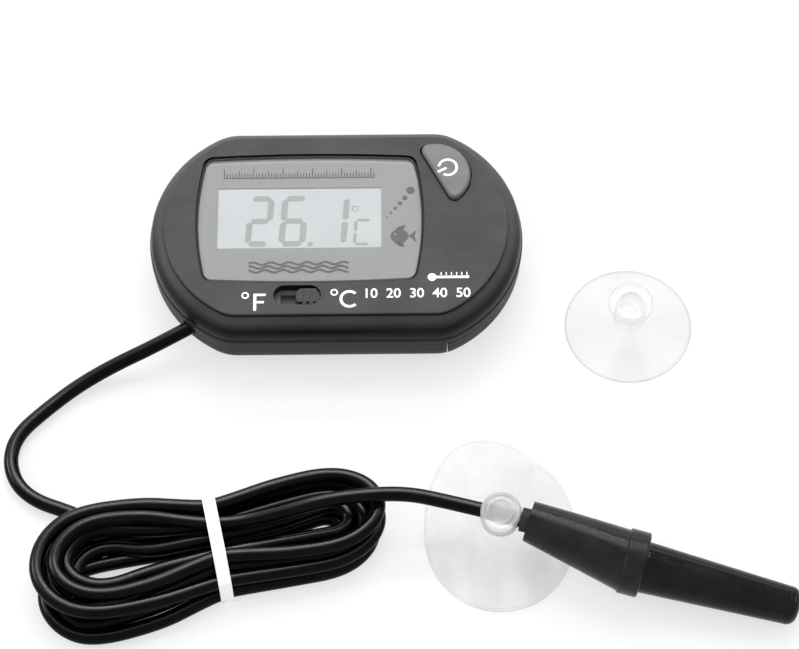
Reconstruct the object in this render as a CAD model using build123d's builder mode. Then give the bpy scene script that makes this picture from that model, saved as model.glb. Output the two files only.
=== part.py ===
"""Digital aquarium thermometer: a display case with a wired probe and two suction cups, in millimetres.

The origin is the mouth of the suction cup socket in the middle of the case's back. +X is to the right of
the display, +Y is towards its top and +Z is out of its face. Everything lies on the plane z = 0.
"""

import os
from math import asin, atan2, cos, degrees, pi, radians, sin, sqrt, tan

from build123d import *

os.makedirs("parts", exist_ok=True)

# Case outline: straight top and bottom, round ends, softened corners.
case_length = 62.4
case_height = 39.0
case_thickness = 13.0
end_radius = 21.1
end_centre = case_length / 2 - end_radius
corner_fillet = 8.0
wall = 1.8
border_height = 12.65  # top of the rounded border, which the flat face stands above
border_radius = 3.9
face_inset = 2.5
face_edge_radius = 0.3
seam_z = 6.75  # the lower edge of the front shell
seam_gap = 0.35
lip_width, lip_height = 0.2, 1.25  # rim round the front shell's lower edge
upper_wall = 2.6  # inset of the front shell's hollow, above the back's tongue
tongue_inset = wall + 0.1
tongue_height, tongue_thickness = 1.5, 0.8
back_corner_radius = 4.3

# Lens panel, liquid crystal cell and what carries them.
lens_centre = (-4.3, 1.3)
lens_length, lens_height, lens_thickness = 37.4, 24.0, 0.8
lens_gap = 0.35
lcd_centre = (-6.05, 1.2)
lcd_length, lcd_height, lcd_thickness = 31.0, 17.0, 1.6
lcd_top = case_thickness - lens_thickness - 0.1
lcd_bottom = lcd_top - lcd_thickness

# Circuit board and its parts.
board_top = 9.0
board_thickness = 1.2
board_bottom = board_top - board_thickness
board_inset = 4.4
board_screw_places = [(12.6, 0.0), (3.5, -11.5)]
board_post_radius = 1.8
board_screw_radius, board_pilot_radius, board_hole_radius = 0.7, 0.72, 0.85
board_head_radius, board_head_height = 1.6, 1.0
chip_centre = (-9.0, 3.0)
chip_radius, chip_height = 4.0, 1.2

# Case screws.
boss_places = [(8.5, 14.0), (-17.5, 13.2), (-14.0, -14.0), (8.5, -14.0)]
boss_radius, post_radius = 3.2, 2.3  # round each screw, on the back and on the front
screw_radius, screw_pilot_radius, screw_hole_radius = 1.1, 1.12, 1.25
screw_head_radius, screw_seat_radius = 2.0, 2.15
screw_head_z = 1.4
screw_seat_z = 3.0
screw_length = 7.3

# Power button, a half disc whose chord faces the display.
button_origin = (16.7, 9.25)
button_turn = 27.6  # degrees, from +X to the middle of the round side
button_radius = 5.9
button_rise = 0.8
button_gap = 0.22
dome_offset = 2.4  # from the chord to the snap dome under the button
dome_radius, dome_height = 2.3, 0.9

# Unit switch in its slot.
slot_centre = (-6.3, -13.3)
slot_length, slot_width = 7.8, 3.6
knob_length, knob_width = 3.9, 2.9
knob_x = slot_centre[0] + slot_length / 2 - knob_length / 2 - 0.2

# Battery and its door.
door_x = 18.3
door_gap = 0.15
cell_centre = (22.3, 0.0)
cell_radius, cell_height = 5.8, 5.4
cell_cap_height = 0.6
contact_thickness = 0.25
contact_width = 3.0

# Suction cup socket in the back.
socket_radius = 2.75
chamber_radius, chamber_depth = 4.2, 3.0

# Cord and its route. The hank's own axis leans from +X towards +Y.
cord_radius = 1.2
exit_point = (-24.2, -15.2, 5.6)
lead_first = (-29.9, -18.3, 5.0)
lead_inside = 6.5  # length of cord inside the case
grommet_radius, grommet_length = 1.6, 2.2
lead_loop_centre = (-45.0, -37.0)
lead_loop_radius = 8.65
lead_loop_angles = (149, 180, 211, 242)
hank_centre = (-19.0, -54.5)
hank_turn = 11.5
hank_height = 7.6
hank_waist = -1.0
hank_outline = [
    (-30.3, 11.4),
    (-30.3, -11.8),
    (hank_waist, -8.0),
    (27.9, -8.3),
    (27.9, 9.9),
    (hank_waist, 8.0),
]
hank_left_fillet, hank_right_fillet = 9.5, 8.2
tie_width, tie_thickness, tie_length = 2.1, 0.5, 17.2

# Probe: rubber boot, collar and tip.
boot_start = (30.8, -51.95, 7.82)
boot_middle = (38.4, -54.9, 6.75)
boot_end = (45.8, -57.9, 5.6)
boot_radii = (3.3, 4.15, 5.0)
collar_radius, collar_width = 5.3, 3.4
tip_start = (45.85, -58.1, 5.35)
tip_end = (73.5, -65.4, 3.2)
tip_radii = (4.15, 3.1)
tip_wall = 0.8
bead_radius = 1.1

# Suction cups.
probe_cup_radius = 12.6
probe_cup_hole_height = 6.0
probe_cup_tilt = 8.0
nub_centre = (26.4, -50.78, 7.87)
nub_radius = 3.3
cord_hole_radius = 1.4
loose_cup_centre = (48.8, -12.9)
loose_cup_radius = 10.6
loose_neck_radius, loose_head_radius = 2.5, 3.7
loose_head_base, loose_head_top = 7.5, 9.0


def case_outline(sketch, inset):
    """Fills the case's outline, drawn in from its edge by inset."""
    half = case_height / 2 - inset
    radius = end_radius - inset
    corner = end_centre + sqrt(radius**2 - half**2)
    with BuildLine() as edge:
        Line((-corner, half), (corner, half))
        ThreePointArc((corner, half), (end_centre + radius, 0), (corner, -half))
        Line((corner, -half), (-corner, -half))
        ThreePointArc((-corner, -half), (-end_centre - radius, 0), (-corner, half))
    make_face(edge.edges())
    fillet(sketch.vertices(), corner_fillet - inset)


def barrel_outline(sketch, length, height, corner):
    """Fills a rectangle whose four sides bulge outwards."""
    side_bulge, top_bulge = 1.4, 0.5
    x, y = length / 2 - side_bulge, height / 2 - top_bulge
    with BuildLine() as edge:
        ThreePointArc((-x, y), (0, height / 2), (x, y))
        ThreePointArc((x, y), (length / 2, 0), (x, -y))
        ThreePointArc((x, -y), (0, -height / 2), (-x, -y))
        ThreePointArc((-x, -y), (-length / 2, 0), (-x, y))
    make_face(edge.edges())
    fillet(sketch.vertices(), corner)


def half_disc(sketch, grow):
    """Fills the power button's outline, larger by grow on every side."""
    radius = button_radius + grow
    Circle(radius)
    with Locations((-grow - radius, 0)):
        Rectangle(2 * radius, 3 * radius, mode=Mode.SUBTRACT)
    fillet(sketch.vertices().filter_by_position(Axis.X, -grow - 0.01, -grow + 0.01), 1.2)


def button_plane(height):
    turn = radians(button_turn)
    return Plane(
        origin=(*button_origin, height), x_dir=(cos(turn), sin(turn), 0), z_dir=(0, 0, 1)
    )


def lens_plane(height):
    return Plane(origin=(*lens_centre, height))


def lcd_plane(height):
    return Plane(origin=(*lcd_centre, height))


def slot_plane(height):
    return Plane(origin=(*slot_centre, height))


def hank_plane(height):
    turn = radians(hank_turn)
    return Plane(origin=(*hank_centre, height), x_dir=(cos(turn), sin(turn), 0), z_dir=(0, 0, 1))


def along(start, end):
    """The unit vector from one point to another."""
    return (Vector(*end) - Vector(*start)).normalized()


def cap_middle(radius, height, top):
    """A point halfway along the arc from a round cap's rim to its top, which is on the Z axis."""
    sphere = (radius**2 + height**2) / (2 * height)
    half_angle = asin(radius / sphere) / 2
    return (sphere * sin(half_angle), top - sphere * (1 - cos(half_angle)))


def corner_radii(points):
    """The largest gentle arc for each corner of a cord's route."""
    radii = []
    for before, here, after in zip(points, points[1:], points[2:]):
        run_in, run_out = Vector(*here) - Vector(*before), Vector(*after) - Vector(*here)
        half_turn = radians(run_in.get_angle(run_out)) / 2
        radii.append(0.45 * min(run_in.length, run_out.length) / tan(half_turn))
    return radii


def back_tray(part, height):
    """The back's outer tray, with a flat floor, rounded lower edge and open top."""
    with BuildSketch(Plane.XY) as outer:
        case_outline(outer, 0.15)
    extrude(outer.sketch, amount=height)
    fillet(part.faces().sort_by(Axis.Z)[0].edges(), back_corner_radius)
    with BuildSketch(Plane.XY.offset(wall)) as inner:
        case_outline(inner, 2.0)
    extrude(inner.sketch, amount=height, mode=Mode.SUBTRACT)


# ---------------------------------------------------------------- front shell

exit_way = along(exit_point, lead_first)
exit_up = exit_way.cross(Vector(0, 0, 1)).cross(exit_way).normalized()
inward = exit_way * -1

with BuildPart() as front_shell:
    with BuildSketch(Plane.XY.offset(seam_z)) as lip_sketch:
        case_outline(lip_sketch, 0)
    extrude(amount=lip_height)
    fillet(front_shell.faces().sort_by(Axis.Z)[-1].edges(), 0.15)
    with BuildSketch(Plane.XY.offset(seam_z)) as shell_sketch:
        case_outline(shell_sketch, lip_width)
    extrude(amount=border_height - seam_z)
    fillet(front_shell.faces().sort_by(Axis.Z)[-1].edges(), border_radius)
    with BuildSketch(Plane.XY.offset(case_thickness - 1.0)) as face_sketch:
        case_outline(face_sketch, face_inset)
    extrude(amount=1.0)
    face_edges = front_shell.faces().sort_by(Axis.Z)[-1].edges()
    fillet(face_edges, face_edge_radius)
    with BuildSketch(Plane.XY.offset(seam_z)) as lower_hollow_sketch:
        case_outline(lower_hollow_sketch, wall)
    extrude(amount=tongue_height + 0.35, mode=Mode.SUBTRACT)
    with BuildSketch(Plane.XY.offset(seam_z)) as upper_hollow_sketch:
        case_outline(upper_hollow_sketch, upper_wall)
    extrude(amount=case_thickness - wall - seam_z, mode=Mode.SUBTRACT)
    # Recess for the lens panel, and the window behind it.
    with BuildSketch(lens_plane(case_thickness - lens_thickness)) as recess_sketch:
        barrel_outline(recess_sketch, lens_length + 2 * lens_gap, lens_height + 2 * lens_gap, 1.9)
    extrude(amount=2, mode=Mode.SUBTRACT)
    with BuildSketch(lcd_plane(seam_z)):
        RectangleRounded(lcd_length + 0.6, lcd_height + 0.6, 0.6)
    extrude(amount=case_thickness, mode=Mode.SUBTRACT)
    # Button hole and switch slot, each with a softened mouth.
    with BuildSketch(button_plane(seam_z)) as button_hole_sketch:
        half_disc(button_hole_sketch, button_gap)
    extrude(amount=case_thickness, mode=Mode.SUBTRACT)
    with BuildSketch(slot_plane(seam_z)):
        SlotOverall(slot_length, slot_width)
    extrude(amount=case_thickness, mode=Mode.SUBTRACT)
    # Posts for the case screws and the circuit board screws.
    with BuildSketch(Plane.XY.offset(seam_z + 0.1)):
        with Locations(*boss_places):
            Circle(post_radius)
    extrude(amount=case_thickness - wall - seam_z)
    with BuildSketch(Plane.XY.offset(board_top)):
        with Locations(*board_screw_places):
            Circle(board_post_radius)
    extrude(amount=case_thickness - wall - board_top + 0.1)
    with BuildSketch(Plane.XY.offset(seam_z)):
        with Locations(*boss_places):
            Circle(screw_pilot_radius)
    extrude(amount=screw_seat_z + screw_length + 0.3 - seam_z, mode=Mode.SUBTRACT)
    with BuildSketch(Plane.XY.offset(board_top)):
        with Locations(*board_screw_places):
            Circle(board_pilot_radius)
    extrude(amount=2.3, mode=Mode.SUBTRACT)
    # Arch over the cord in the lower edge.
    with BuildSketch(Plane(origin=exit_point, x_dir=exit_up, z_dir=exit_way)):
        Circle(cord_radius + 0.3)
    extrude(amount=5, both=True, mode=Mode.SUBTRACT)
front_shell.part.label = "front_shell"
export_step(front_shell.part, "parts/front_shell.step")

# ---------------------------------------------------------------- back shell and battery door

with BuildPart() as back_shell:
    back_tray(back_shell, seam_z - seam_gap)
    with BuildSketch(Plane.XY.offset(wall)):
        with Locations(*boss_places):
            Circle(boss_radius)
        Circle(chamber_radius + 1.2)
    extrude(amount=seam_z - seam_gap - wall)
    with BuildSketch(Plane.XY.offset(wall + chamber_depth + 1.0)):
        Circle(chamber_radius + 1.3)
    extrude(amount=seam_z, mode=Mode.SUBTRACT)
    with BuildSketch(Plane.XY.offset(wall)):
        Circle(chamber_radius)
    extrude(amount=chamber_depth, mode=Mode.SUBTRACT)
    # Round wall that steadies the battery on its inner side.
    with BuildSketch(Plane.XY.offset(wall)):
        with Locations(cell_centre):
            Circle(cell_radius + 1.7)
            Circle(cell_radius + 0.7, mode=Mode.SUBTRACT)
    extrude(amount=seam_z - seam_gap - wall - 0.2)
    with BuildSketch(Plane.XY):
        with Locations((door_x + case_length / 2, 0)):
            Rectangle(case_length, case_height + 10)
    extrude(amount=seam_z - seam_gap, mode=Mode.SUBTRACT)
    # Seam step and the tongue that enters the front shell.
    with BuildSketch(Plane.XY.offset(seam_z - seam_gap)) as step_sketch:
        case_outline(step_sketch, 0.5)
    extrude(amount=seam_gap)
    with BuildSketch(Plane.XY.offset(seam_z)) as tongue_sketch:
        case_outline(tongue_sketch, tongue_inset)
    extrude(amount=tongue_height)
    with BuildSketch(Plane.XY.offset(seam_z - seam_gap)) as mouth_sketch:
        case_outline(mouth_sketch, tongue_inset + tongue_thickness)
    extrude(amount=seam_gap + tongue_height, mode=Mode.SUBTRACT)
    with BuildSketch(Plane.XY.offset(seam_z - seam_gap)):
        with Locations(*boss_places):
            Circle(boss_radius)
    extrude(amount=seam_gap)
    # Screw holes with deep seats, the cup socket, and the cord's arched notch.
    with BuildSketch(Plane.XY):
        with Locations(*boss_places):
            Circle(screw_hole_radius)
        Circle(socket_radius)
    extrude(amount=wall, mode=Mode.SUBTRACT)
    with BuildSketch(Plane.XY.offset(wall)):
        with Locations(*boss_places):
            Circle(screw_hole_radius)
    extrude(amount=seam_z, mode=Mode.SUBTRACT)
    with BuildSketch(Plane.XY):
        with Locations(*boss_places):
            Circle(screw_seat_radius)
    extrude(amount=screw_seat_z, mode=Mode.SUBTRACT)
    with BuildSketch(Plane(origin=exit_point, x_dir=exit_up, z_dir=exit_way)):
        Circle(cord_radius + 0.1)
        with Locations(((seam_z - exit_point[2]) / 2, 0)):
            Rectangle(seam_z - exit_point[2], 2 * cord_radius + 0.2)
    extrude(amount=5, both=True, mode=Mode.SUBTRACT)
back_shell.part.label = "back_shell"
export_step(back_shell.part, "parts/back_shell.step")

with BuildPart() as battery_door:
    back_tray(battery_door, seam_z - seam_gap - door_gap)
    with BuildSketch(Plane.XY):
        with Locations((door_x + door_gap + case_length / 2, 0)):
            Rectangle(case_length, case_height + 10)
    extrude(amount=seam_z, mode=Mode.INTERSECT)
    # Two tongues that reach in over the back's floor.
    with BuildSketch(Plane.XY.offset(wall + 0.15)):
        with Locations((door_x, 11.0), (door_x, -11.0)):
            Rectangle(5.0, 4.0)
    extrude(amount=0.9)
    with BuildSketch(Plane.XY.offset(wall - 0.5)):
        with Locations((door_x + 1.4, 11.0), (door_x + 1.4, -11.0)):
            Rectangle(2.2, 4.0)
    extrude(amount=1.0)
    # Finger ribs cut in the outside of the floor.
    with BuildSketch(Plane.XY):
        with Locations((22.0, 0), (23.6, 0), (25.2, 0)):
            SlotOverall(9.0, 0.7, rotation=90)
    extrude(amount=0.4, mode=Mode.SUBTRACT)
battery_door.part.label = "battery_door"
export_step(battery_door.part, "parts/battery_door.step")

# ---------------------------------------------------------------- display

with BuildPart() as lens_panel:
    with BuildSketch(lens_plane(case_thickness - lens_thickness)) as lens_sketch:
        barrel_outline(lens_sketch, lens_length, lens_height, 1.6)
    extrude(amount=lens_thickness)
    lens_edges = lens_panel.faces().sort_by(Axis.Z)[-1].edges()
    fillet(lens_edges, 0.15)
lens_panel.part.label = "lens_panel"
export_step(lens_panel.part, "parts/lens_panel.step")

with BuildPart() as lcd_glass:
    with BuildSketch(lcd_plane(lcd_bottom)):
        Rectangle(lcd_length, lcd_height)
    extrude(amount=lcd_thickness / 2)
    with BuildSketch(lcd_plane(lcd_bottom + lcd_thickness / 2)):
        with Locations((0, 0.6)):
            Rectangle(lcd_length, lcd_height - 1.2)
    extrude(amount=lcd_thickness / 2)
lcd_glass.part.label = "lcd_glass"
export_step(lcd_glass.part, "parts/lcd_glass.step")

with BuildPart() as lcd_frame:
    with BuildSketch(lcd_plane(board_top)):
        Rectangle(lcd_length + 0.4, lcd_height + 1.0)
        Rectangle(lcd_length - 3.4, lcd_height - 2.4, mode=Mode.SUBTRACT)
    extrude(amount=lcd_bottom - board_top)
lcd_frame.part.label = "lcd_frame"
export_step(lcd_frame.part, "parts/lcd_frame.step")

with BuildPart() as lcd_reflector:
    with BuildSketch(lcd_plane(lcd_bottom - 0.5)):
        with Locations((0, 1.6)):
            Rectangle(lcd_length - 3.8, lcd_height - 6.0)
    extrude(amount=0.45)
lcd_reflector.part.label = "lcd_reflector"
export_step(lcd_reflector.part, "parts/lcd_reflector.step")

with BuildPart() as zebra_strip:
    with BuildSketch(lcd_plane(board_top)):
        with Locations((0, -6.35)):
            Rectangle(lcd_length - 4.0, 1.5)
    extrude(amount=lcd_bottom - board_top)
zebra_strip.part.label = "zebra_strip"
export_step(zebra_strip.part, "parts/zebra_strip.step")

# ---------------------------------------------------------------- circuit board

with BuildPart() as circuit_board:
    with BuildSketch(Plane.XY.offset(board_bottom)) as board_sketch:
        case_outline(board_sketch, board_inset)
        with Locations(*boss_places):
            Circle(2.6, mode=Mode.SUBTRACT)
        with Locations(*board_screw_places):
            Circle(board_hole_radius, mode=Mode.SUBTRACT)
    extrude(amount=board_thickness)
circuit_board.part.label = "circuit_board"
export_step(circuit_board.part, "parts/circuit_board.step")

with BuildPart() as chip_cover:
    with BuildSketch(Plane.XZ):
        with BuildLine():
            Line((0, 0), (chip_radius, 0))
            ThreePointArc(
                (chip_radius, 0), cap_middle(chip_radius, chip_height, chip_height), (0, chip_height)
            )
            Line((0, chip_height), (0, 0))
        make_face()
    revolve(axis=Axis.Z)
chip_cover.part = chip_cover.part.moved(Location((*chip_centre, board_bottom), (180, 0, 0)))
chip_cover.part.label = "chip_cover"
export_step(chip_cover.part, "parts/chip_cover.step")

with BuildPart() as board_screws:
    with BuildSketch(Plane.XY.offset(board_bottom - board_head_height)):
        with Locations(*board_screw_places):
            Circle(board_head_radius)
    extrude(amount=board_head_height)
    with BuildSketch(Plane.XY.offset(board_bottom)):
        with Locations(*board_screw_places):
            Circle(board_screw_radius)
    extrude(amount=3.0)
    with BuildSketch(Plane.XY.offset(board_bottom - board_head_height)):
        with Locations(*board_screw_places):
            Rectangle(2.0, 0.4)
            Rectangle(0.4, 2.0)
    extrude(amount=0.5, mode=Mode.SUBTRACT)
board_screws.part.label = "board_screws"
export_step(board_screws.part, "parts/board_screws.step")

with BuildPart() as case_screws:
    with BuildSketch(Plane.XY.offset(screw_head_z)):
        with Locations(*boss_places):
            Circle(screw_head_radius)
    extrude(amount=screw_seat_z - screw_head_z)
    with BuildSketch(Plane.XY.offset(screw_seat_z)):
        with Locations(*boss_places):
            Circle(screw_radius)
    extrude(amount=screw_length)
    with BuildSketch(Plane.XY.offset(screw_head_z)):
        with Locations(*boss_places):
            Rectangle(2.4, 0.6)
            Rectangle(0.6, 2.4)
    extrude(amount=0.8, mode=Mode.SUBTRACT)
case_screws.part.label = "case_screws"
export_step(case_screws.part, "parts/case_screws.step")

# ---------------------------------------------------------------- power button

dome_centre = (
    button_origin[0] + dome_offset * cos(radians(button_turn)),
    button_origin[1] + dome_offset * sin(radians(button_turn)),
)

with BuildPart() as power_button:
    with BuildSketch(button_plane(case_thickness - wall - 0.9)) as flange_sketch:
        half_disc(flange_sketch, 0.7)
    extrude(amount=0.8)
    with BuildSketch(button_plane(case_thickness - wall - 0.1)) as cap_sketch:
        half_disc(cap_sketch, 0)
    extrude(amount=wall + 0.1 + button_rise)
    cap_edges = power_button.faces().sort_by(Axis.Z)[-1].edges()
    fillet(cap_edges, 0.45)
    with BuildSketch(button_plane(board_top + dome_height + 0.05)):
        with Locations((dome_offset, 0)):
            Circle(1.5)
    extrude(amount=0.6)
power_button.part.label = "power_button"
export_step(power_button.part, "parts/power_button.step")

with BuildPart() as button_dome:
    with BuildSketch(Plane.XZ):
        with BuildLine():
            Line((0, 0), (dome_radius, 0))
            ThreePointArc(
                (dome_radius, 0), cap_middle(dome_radius, dome_height, dome_height), (0, dome_height)
            )
            Line((0, dome_height), (0, 0))
        make_face()
    revolve(axis=Axis.Z)
button_dome.part = button_dome.part.moved(Location((*dome_centre, board_top)))
button_dome.part.label = "button_dome"
export_step(button_dome.part, "parts/button_dome.step")

# ---------------------------------------------------------------- unit switch

switch_top = 11.1
stem_bottom = 10.1

with BuildPart() as switch_body:
    with BuildSketch(slot_plane(board_top)):
        RectangleRounded(9.0, 4.6, 0.3)
    extrude(amount=switch_top - board_top)
    with BuildSketch(slot_plane(stem_bottom - 0.1)):
        Rectangle(5.6, 1.9)
    extrude(amount=2, mode=Mode.SUBTRACT)
switch_body.part.label = "switch_body"
export_step(switch_body.part, "parts/switch_body.step")

with BuildPart() as switch_knob:
    with BuildSketch(Plane(origin=(knob_x, slot_centre[1], switch_top + 0.15))):
        RectangleRounded(knob_length, knob_width, 1.3)
    extrude(amount=1.3)
    with BuildSketch(Plane(origin=(knob_x, slot_centre[1], switch_top + 1.45))):
        with GridLocations(1.15, 0, 3, 1):
            Rectangle(0.55, knob_width - 0.5)
    extrude(amount=0.35)
    with BuildSketch(Plane(origin=(knob_x, slot_centre[1], stem_bottom))):
        with Locations((-0.25, 0)):
            Rectangle(1.4, 1.3)
    extrude(amount=switch_top + 0.2 - stem_bottom)
switch_knob.part.label = "switch_knob"
export_step(switch_knob.part, "parts/switch_knob.step")

# ---------------------------------------------------------------- battery

cell_bottom = wall + 0.05
cell_top = cell_bottom + cell_height

with BuildPart() as battery_cell:
    with BuildSketch(Plane(origin=(*cell_centre, cell_bottom))):
        Circle(cell_radius)
    extrude(amount=cell_height - cell_cap_height)
    with BuildSketch(Plane(origin=(*cell_centre, cell_top - cell_cap_height))):
        Circle(cell_radius - 0.9)
    extrude(amount=cell_cap_height)
    lower_rim = battery_cell.faces().sort_by(Axis.Z)[0].edges()
    fillet(lower_rim, 0.5)
battery_cell.part.label = "battery_cell"
export_step(battery_cell.part, "parts/battery_cell.step")

with BuildPart() as contact_negative:
    with BuildSketch(Plane(origin=(*cell_centre, cell_top))):
        Rectangle(6.0, 5.0)
    extrude(amount=contact_thickness)
    with BuildSketch(Plane(origin=(*cell_centre, cell_top + contact_thickness))):
        with Locations((2.4, 0)):
            Rectangle(1.2, 5.0)
    extrude(amount=board_bottom - cell_top - contact_thickness)
contact_negative.part.label = "contact_negative"
export_step(contact_negative.part, "parts/contact_negative.step")

with BuildPart() as contact_positive:
    with BuildSketch(Plane(origin=(cell_centre[0] - cell_radius - 0.28, 0, wall + 0.4))):
        Rectangle(contact_thickness, contact_width)
    extrude(amount=board_bottom - wall - 0.4)
    contact_top = board_bottom - contact_thickness
    with BuildSketch(Plane(origin=(cell_centre[0] - cell_radius + 0.8, 0, contact_top))):
        Rectangle(2.4, contact_width)
    extrude(amount=contact_thickness)
contact_positive.part.label = "contact_positive"
export_step(contact_positive.part, "parts/contact_positive.step")

# ---------------------------------------------------------------- cord

lead_inner = Vector(*exit_point) + inward * lead_inside
lead_points = [tuple(lead_inner), lead_first]
lead_points += [(-36.5, -20.5, 2.8), (-42.8, -23.7, 1.35), (-48.1, -28.2, 1.2)]
for angle in lead_loop_angles:
    x = lead_loop_centre[0] + lead_loop_radius * cos(radians(angle))
    y = lead_loop_centre[1] + lead_loop_radius * sin(radians(angle))
    lead_points.append((x, y, 1.2))
lead_points += [(-43.4, -46.7, 1.2), (-39.9, -48.4, 1.2), (-36.7, -50.3, 1.2)]

tail_points = [
    (-14.6, -50.9, 6.3),
    (-8.6, -50.0, 7.7),
    (-1.8, -48.4, 8.8),
    (5.6, -47.5, 8.9),
    (11.8, -47.3, 8.5),
    (17.6, -48.45, 8.0),
    boot_start,
    boot_middle,
    boot_end,
]


def tube(points, radius):
    """A round tube along straight runs joined by arcs, added to the part being built."""
    radii = corner_radii(points)
    with BuildLine() as route:
        FilletPolyline(*points, radius=radii)
    with BuildSketch(Plane(origin=points[0], z_dir=along(points[0], points[1]))) as section:
        Circle(radius)
    sweep(section.sketch, path=route.wires()[0])
    return route.wires()[0].length, radii


with BuildPart() as cord_lead:
    lead_length, lead_radii = tube(lead_points, cord_radius)
cord_lead.part.label = "cord_lead"
export_step(cord_lead.part, "parts/cord_lead.step")

with BuildPart() as cord_tail:
    tail_length, tail_radii = tube(tail_points, cord_radius)
cord_tail.part.label = "cord_tail"
export_step(cord_tail.part, "parts/cord_tail.step")

for name, length, radii, made in (
    ("cord_lead", lead_length, lead_radii, cord_lead),
    ("cord_tail", tail_length, tail_radii, cord_tail),
):
    section = pi * cord_radius**2
    print(name, "length", round(length, 1), "radii", [round(r, 1) for r in radii])
    print(name, "volume", round(made.part.volume, 1), "section x length", round(section * length, 1))

with BuildPart() as cord_hank:
    with BuildSketch(hank_plane(0)) as hank_sketch:
        with BuildLine():
            Polyline(*hank_outline, close=True)
        make_face()
        fillet(hank_sketch.vertices().group_by(Axis.X)[0], hank_left_fillet)
        fillet(hank_sketch.vertices().group_by(Axis.X)[-1], hank_right_fillet)
        waist = hank_sketch.vertices().filter_by_position(Axis.X, hank_waist - 0.5, hank_waist + 0.5)
        fillet(waist, 30.0)
    extrude(amount=hank_height)
    hank_top = cord_hank.faces().sort_by(Axis.Z)[-1].edges()
    fillet(hank_top, 2.2)
    hank_floor = cord_hank.faces().sort_by(Axis.Z)[0].edges()
    fillet(hank_floor, 0.9)
    with BuildSketch(hank_plane(0)):
        Rectangle(tie_width, 2 * case_height)
    extrude(amount=tie_thickness, mode=Mode.SUBTRACT)
cord_hank.part.label = "cord_hank"
export_step(cord_hank.part, "parts/cord_hank.step")

with BuildPart() as cord_tie:
    with BuildSketch(hank_plane(0)):
        Rectangle(tie_width, tie_length)
    extrude(amount=hank_height + tie_thickness)
    hank_way = hank_plane(0).x_dir
    tie_corners = cord_tie.edges().filter_by(Axis((0, 0, 0), hank_way))
    fillet(tie_corners.group_by(Axis.Z)[-1], 2.6)
    fillet(tie_corners.group_by(Axis.Z)[0], 1.2)
    add(cord_hank.part, mode=Mode.SUBTRACT)
cord_tie.part.label = "cord_tie"
export_step(cord_tie.part, "parts/cord_tie.step")

grommet_face = Vector(*exit_point) + inward * 3.7

with BuildPart() as cord_grommet:
    with BuildSketch(Plane(origin=grommet_face, z_dir=inward)):
        Circle(grommet_radius)
        Circle(cord_radius + 0.05, mode=Mode.SUBTRACT)
    extrude(amount=grommet_length)
cord_grommet.part.label = "cord_grommet"
export_step(cord_grommet.part, "parts/cord_grommet.step")

with BuildPart() as sensor_leads:
    for side in (-0.55, 0.55):
        start = lead_inner + exit_way.cross(exit_up) * side
        turn_point = start + inward * 1.3
        end = turn_point + Vector(0.2, 1.8, board_bottom + 0.3 - turn_point.Z)
        with BuildLine() as lead_route:
            FilletPolyline(tuple(start), tuple(turn_point), tuple(end), radius=0.8)
        with BuildSketch(Plane(origin=start, z_dir=inward)):
            Circle(0.35)
        sweep(path=lead_route.wires()[0])
    with BuildSketch(Plane.XY.offset(board_bottom)):
        Rectangle(2 * case_length, 2 * case_height)
    extrude(amount=2, mode=Mode.SUBTRACT)
sensor_leads.part.label = "sensor_leads"
export_step(sensor_leads.part, "parts/sensor_leads.step")

# ---------------------------------------------------------------- probe

tip_way = along(tip_start, tip_end)
tip_length = (Vector(*tip_end) - Vector(*tip_start)).length
boot_way = along(boot_start, boot_middle)
gland_way = along(tail_points[-4], boot_start)
middle_way = along(boot_start, boot_end)


def boot_section(origin, way, radius):
    with BuildSketch(Plane(origin=origin, z_dir=way)) as section:
        Circle(radius)
    return section.sketch.face()


with BuildPart() as probe_boot:
    loft(
        [
            boot_section(boot_start, (boot_way + gland_way).normalized(), boot_radii[0]),
            boot_section(boot_middle, middle_way, boot_radii[1]),
            boot_section(boot_end, tip_way, boot_radii[2]),
        ]
    )
    add(cord_tail.part, mode=Mode.SUBTRACT)
probe_boot.part.label = "probe_boot"
export_step(probe_boot.part, "parts/probe_boot.step")

gland_start = Vector(*boot_start) - gland_way * 1.25
gland_radius, gland_length = 1.95, 1.6

with BuildPart() as probe_gland:
    with BuildSketch(Plane(origin=gland_start, z_dir=gland_way)):
        Circle(gland_radius)
    extrude(amount=gland_length)
    add(probe_boot.part, mode=Mode.SUBTRACT)
    add(cord_tail.part, mode=Mode.SUBTRACT)
probe_gland.part.label = "probe_gland"
export_step(probe_gland.part, "parts/probe_gland.step")

with BuildPart() as probe_collar:
    with BuildSketch(Plane(origin=boot_end, z_dir=tip_way)):
        Circle(collar_radius)
    extrude(amount=collar_width)
    fillet(probe_collar.edges(), 0.35)
    with BuildSketch(Plane(origin=tip_start, z_dir=tip_way)):
        Circle(tip_radii[0] + 0.03)
    extrude(amount=collar_width + 2, both=True, mode=Mode.SUBTRACT)
probe_collar.part.label = "probe_collar"
export_step(probe_collar.part, "parts/probe_collar.step")


def tip_plane():
    """The plane through the tip's axis, whose Y runs along it from the boot outwards."""
    side = Vector(0, 0, 1).cross(tip_way).normalized()
    return Plane(origin=tip_start, x_dir=side, z_dir=side.cross(tip_way))


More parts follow.
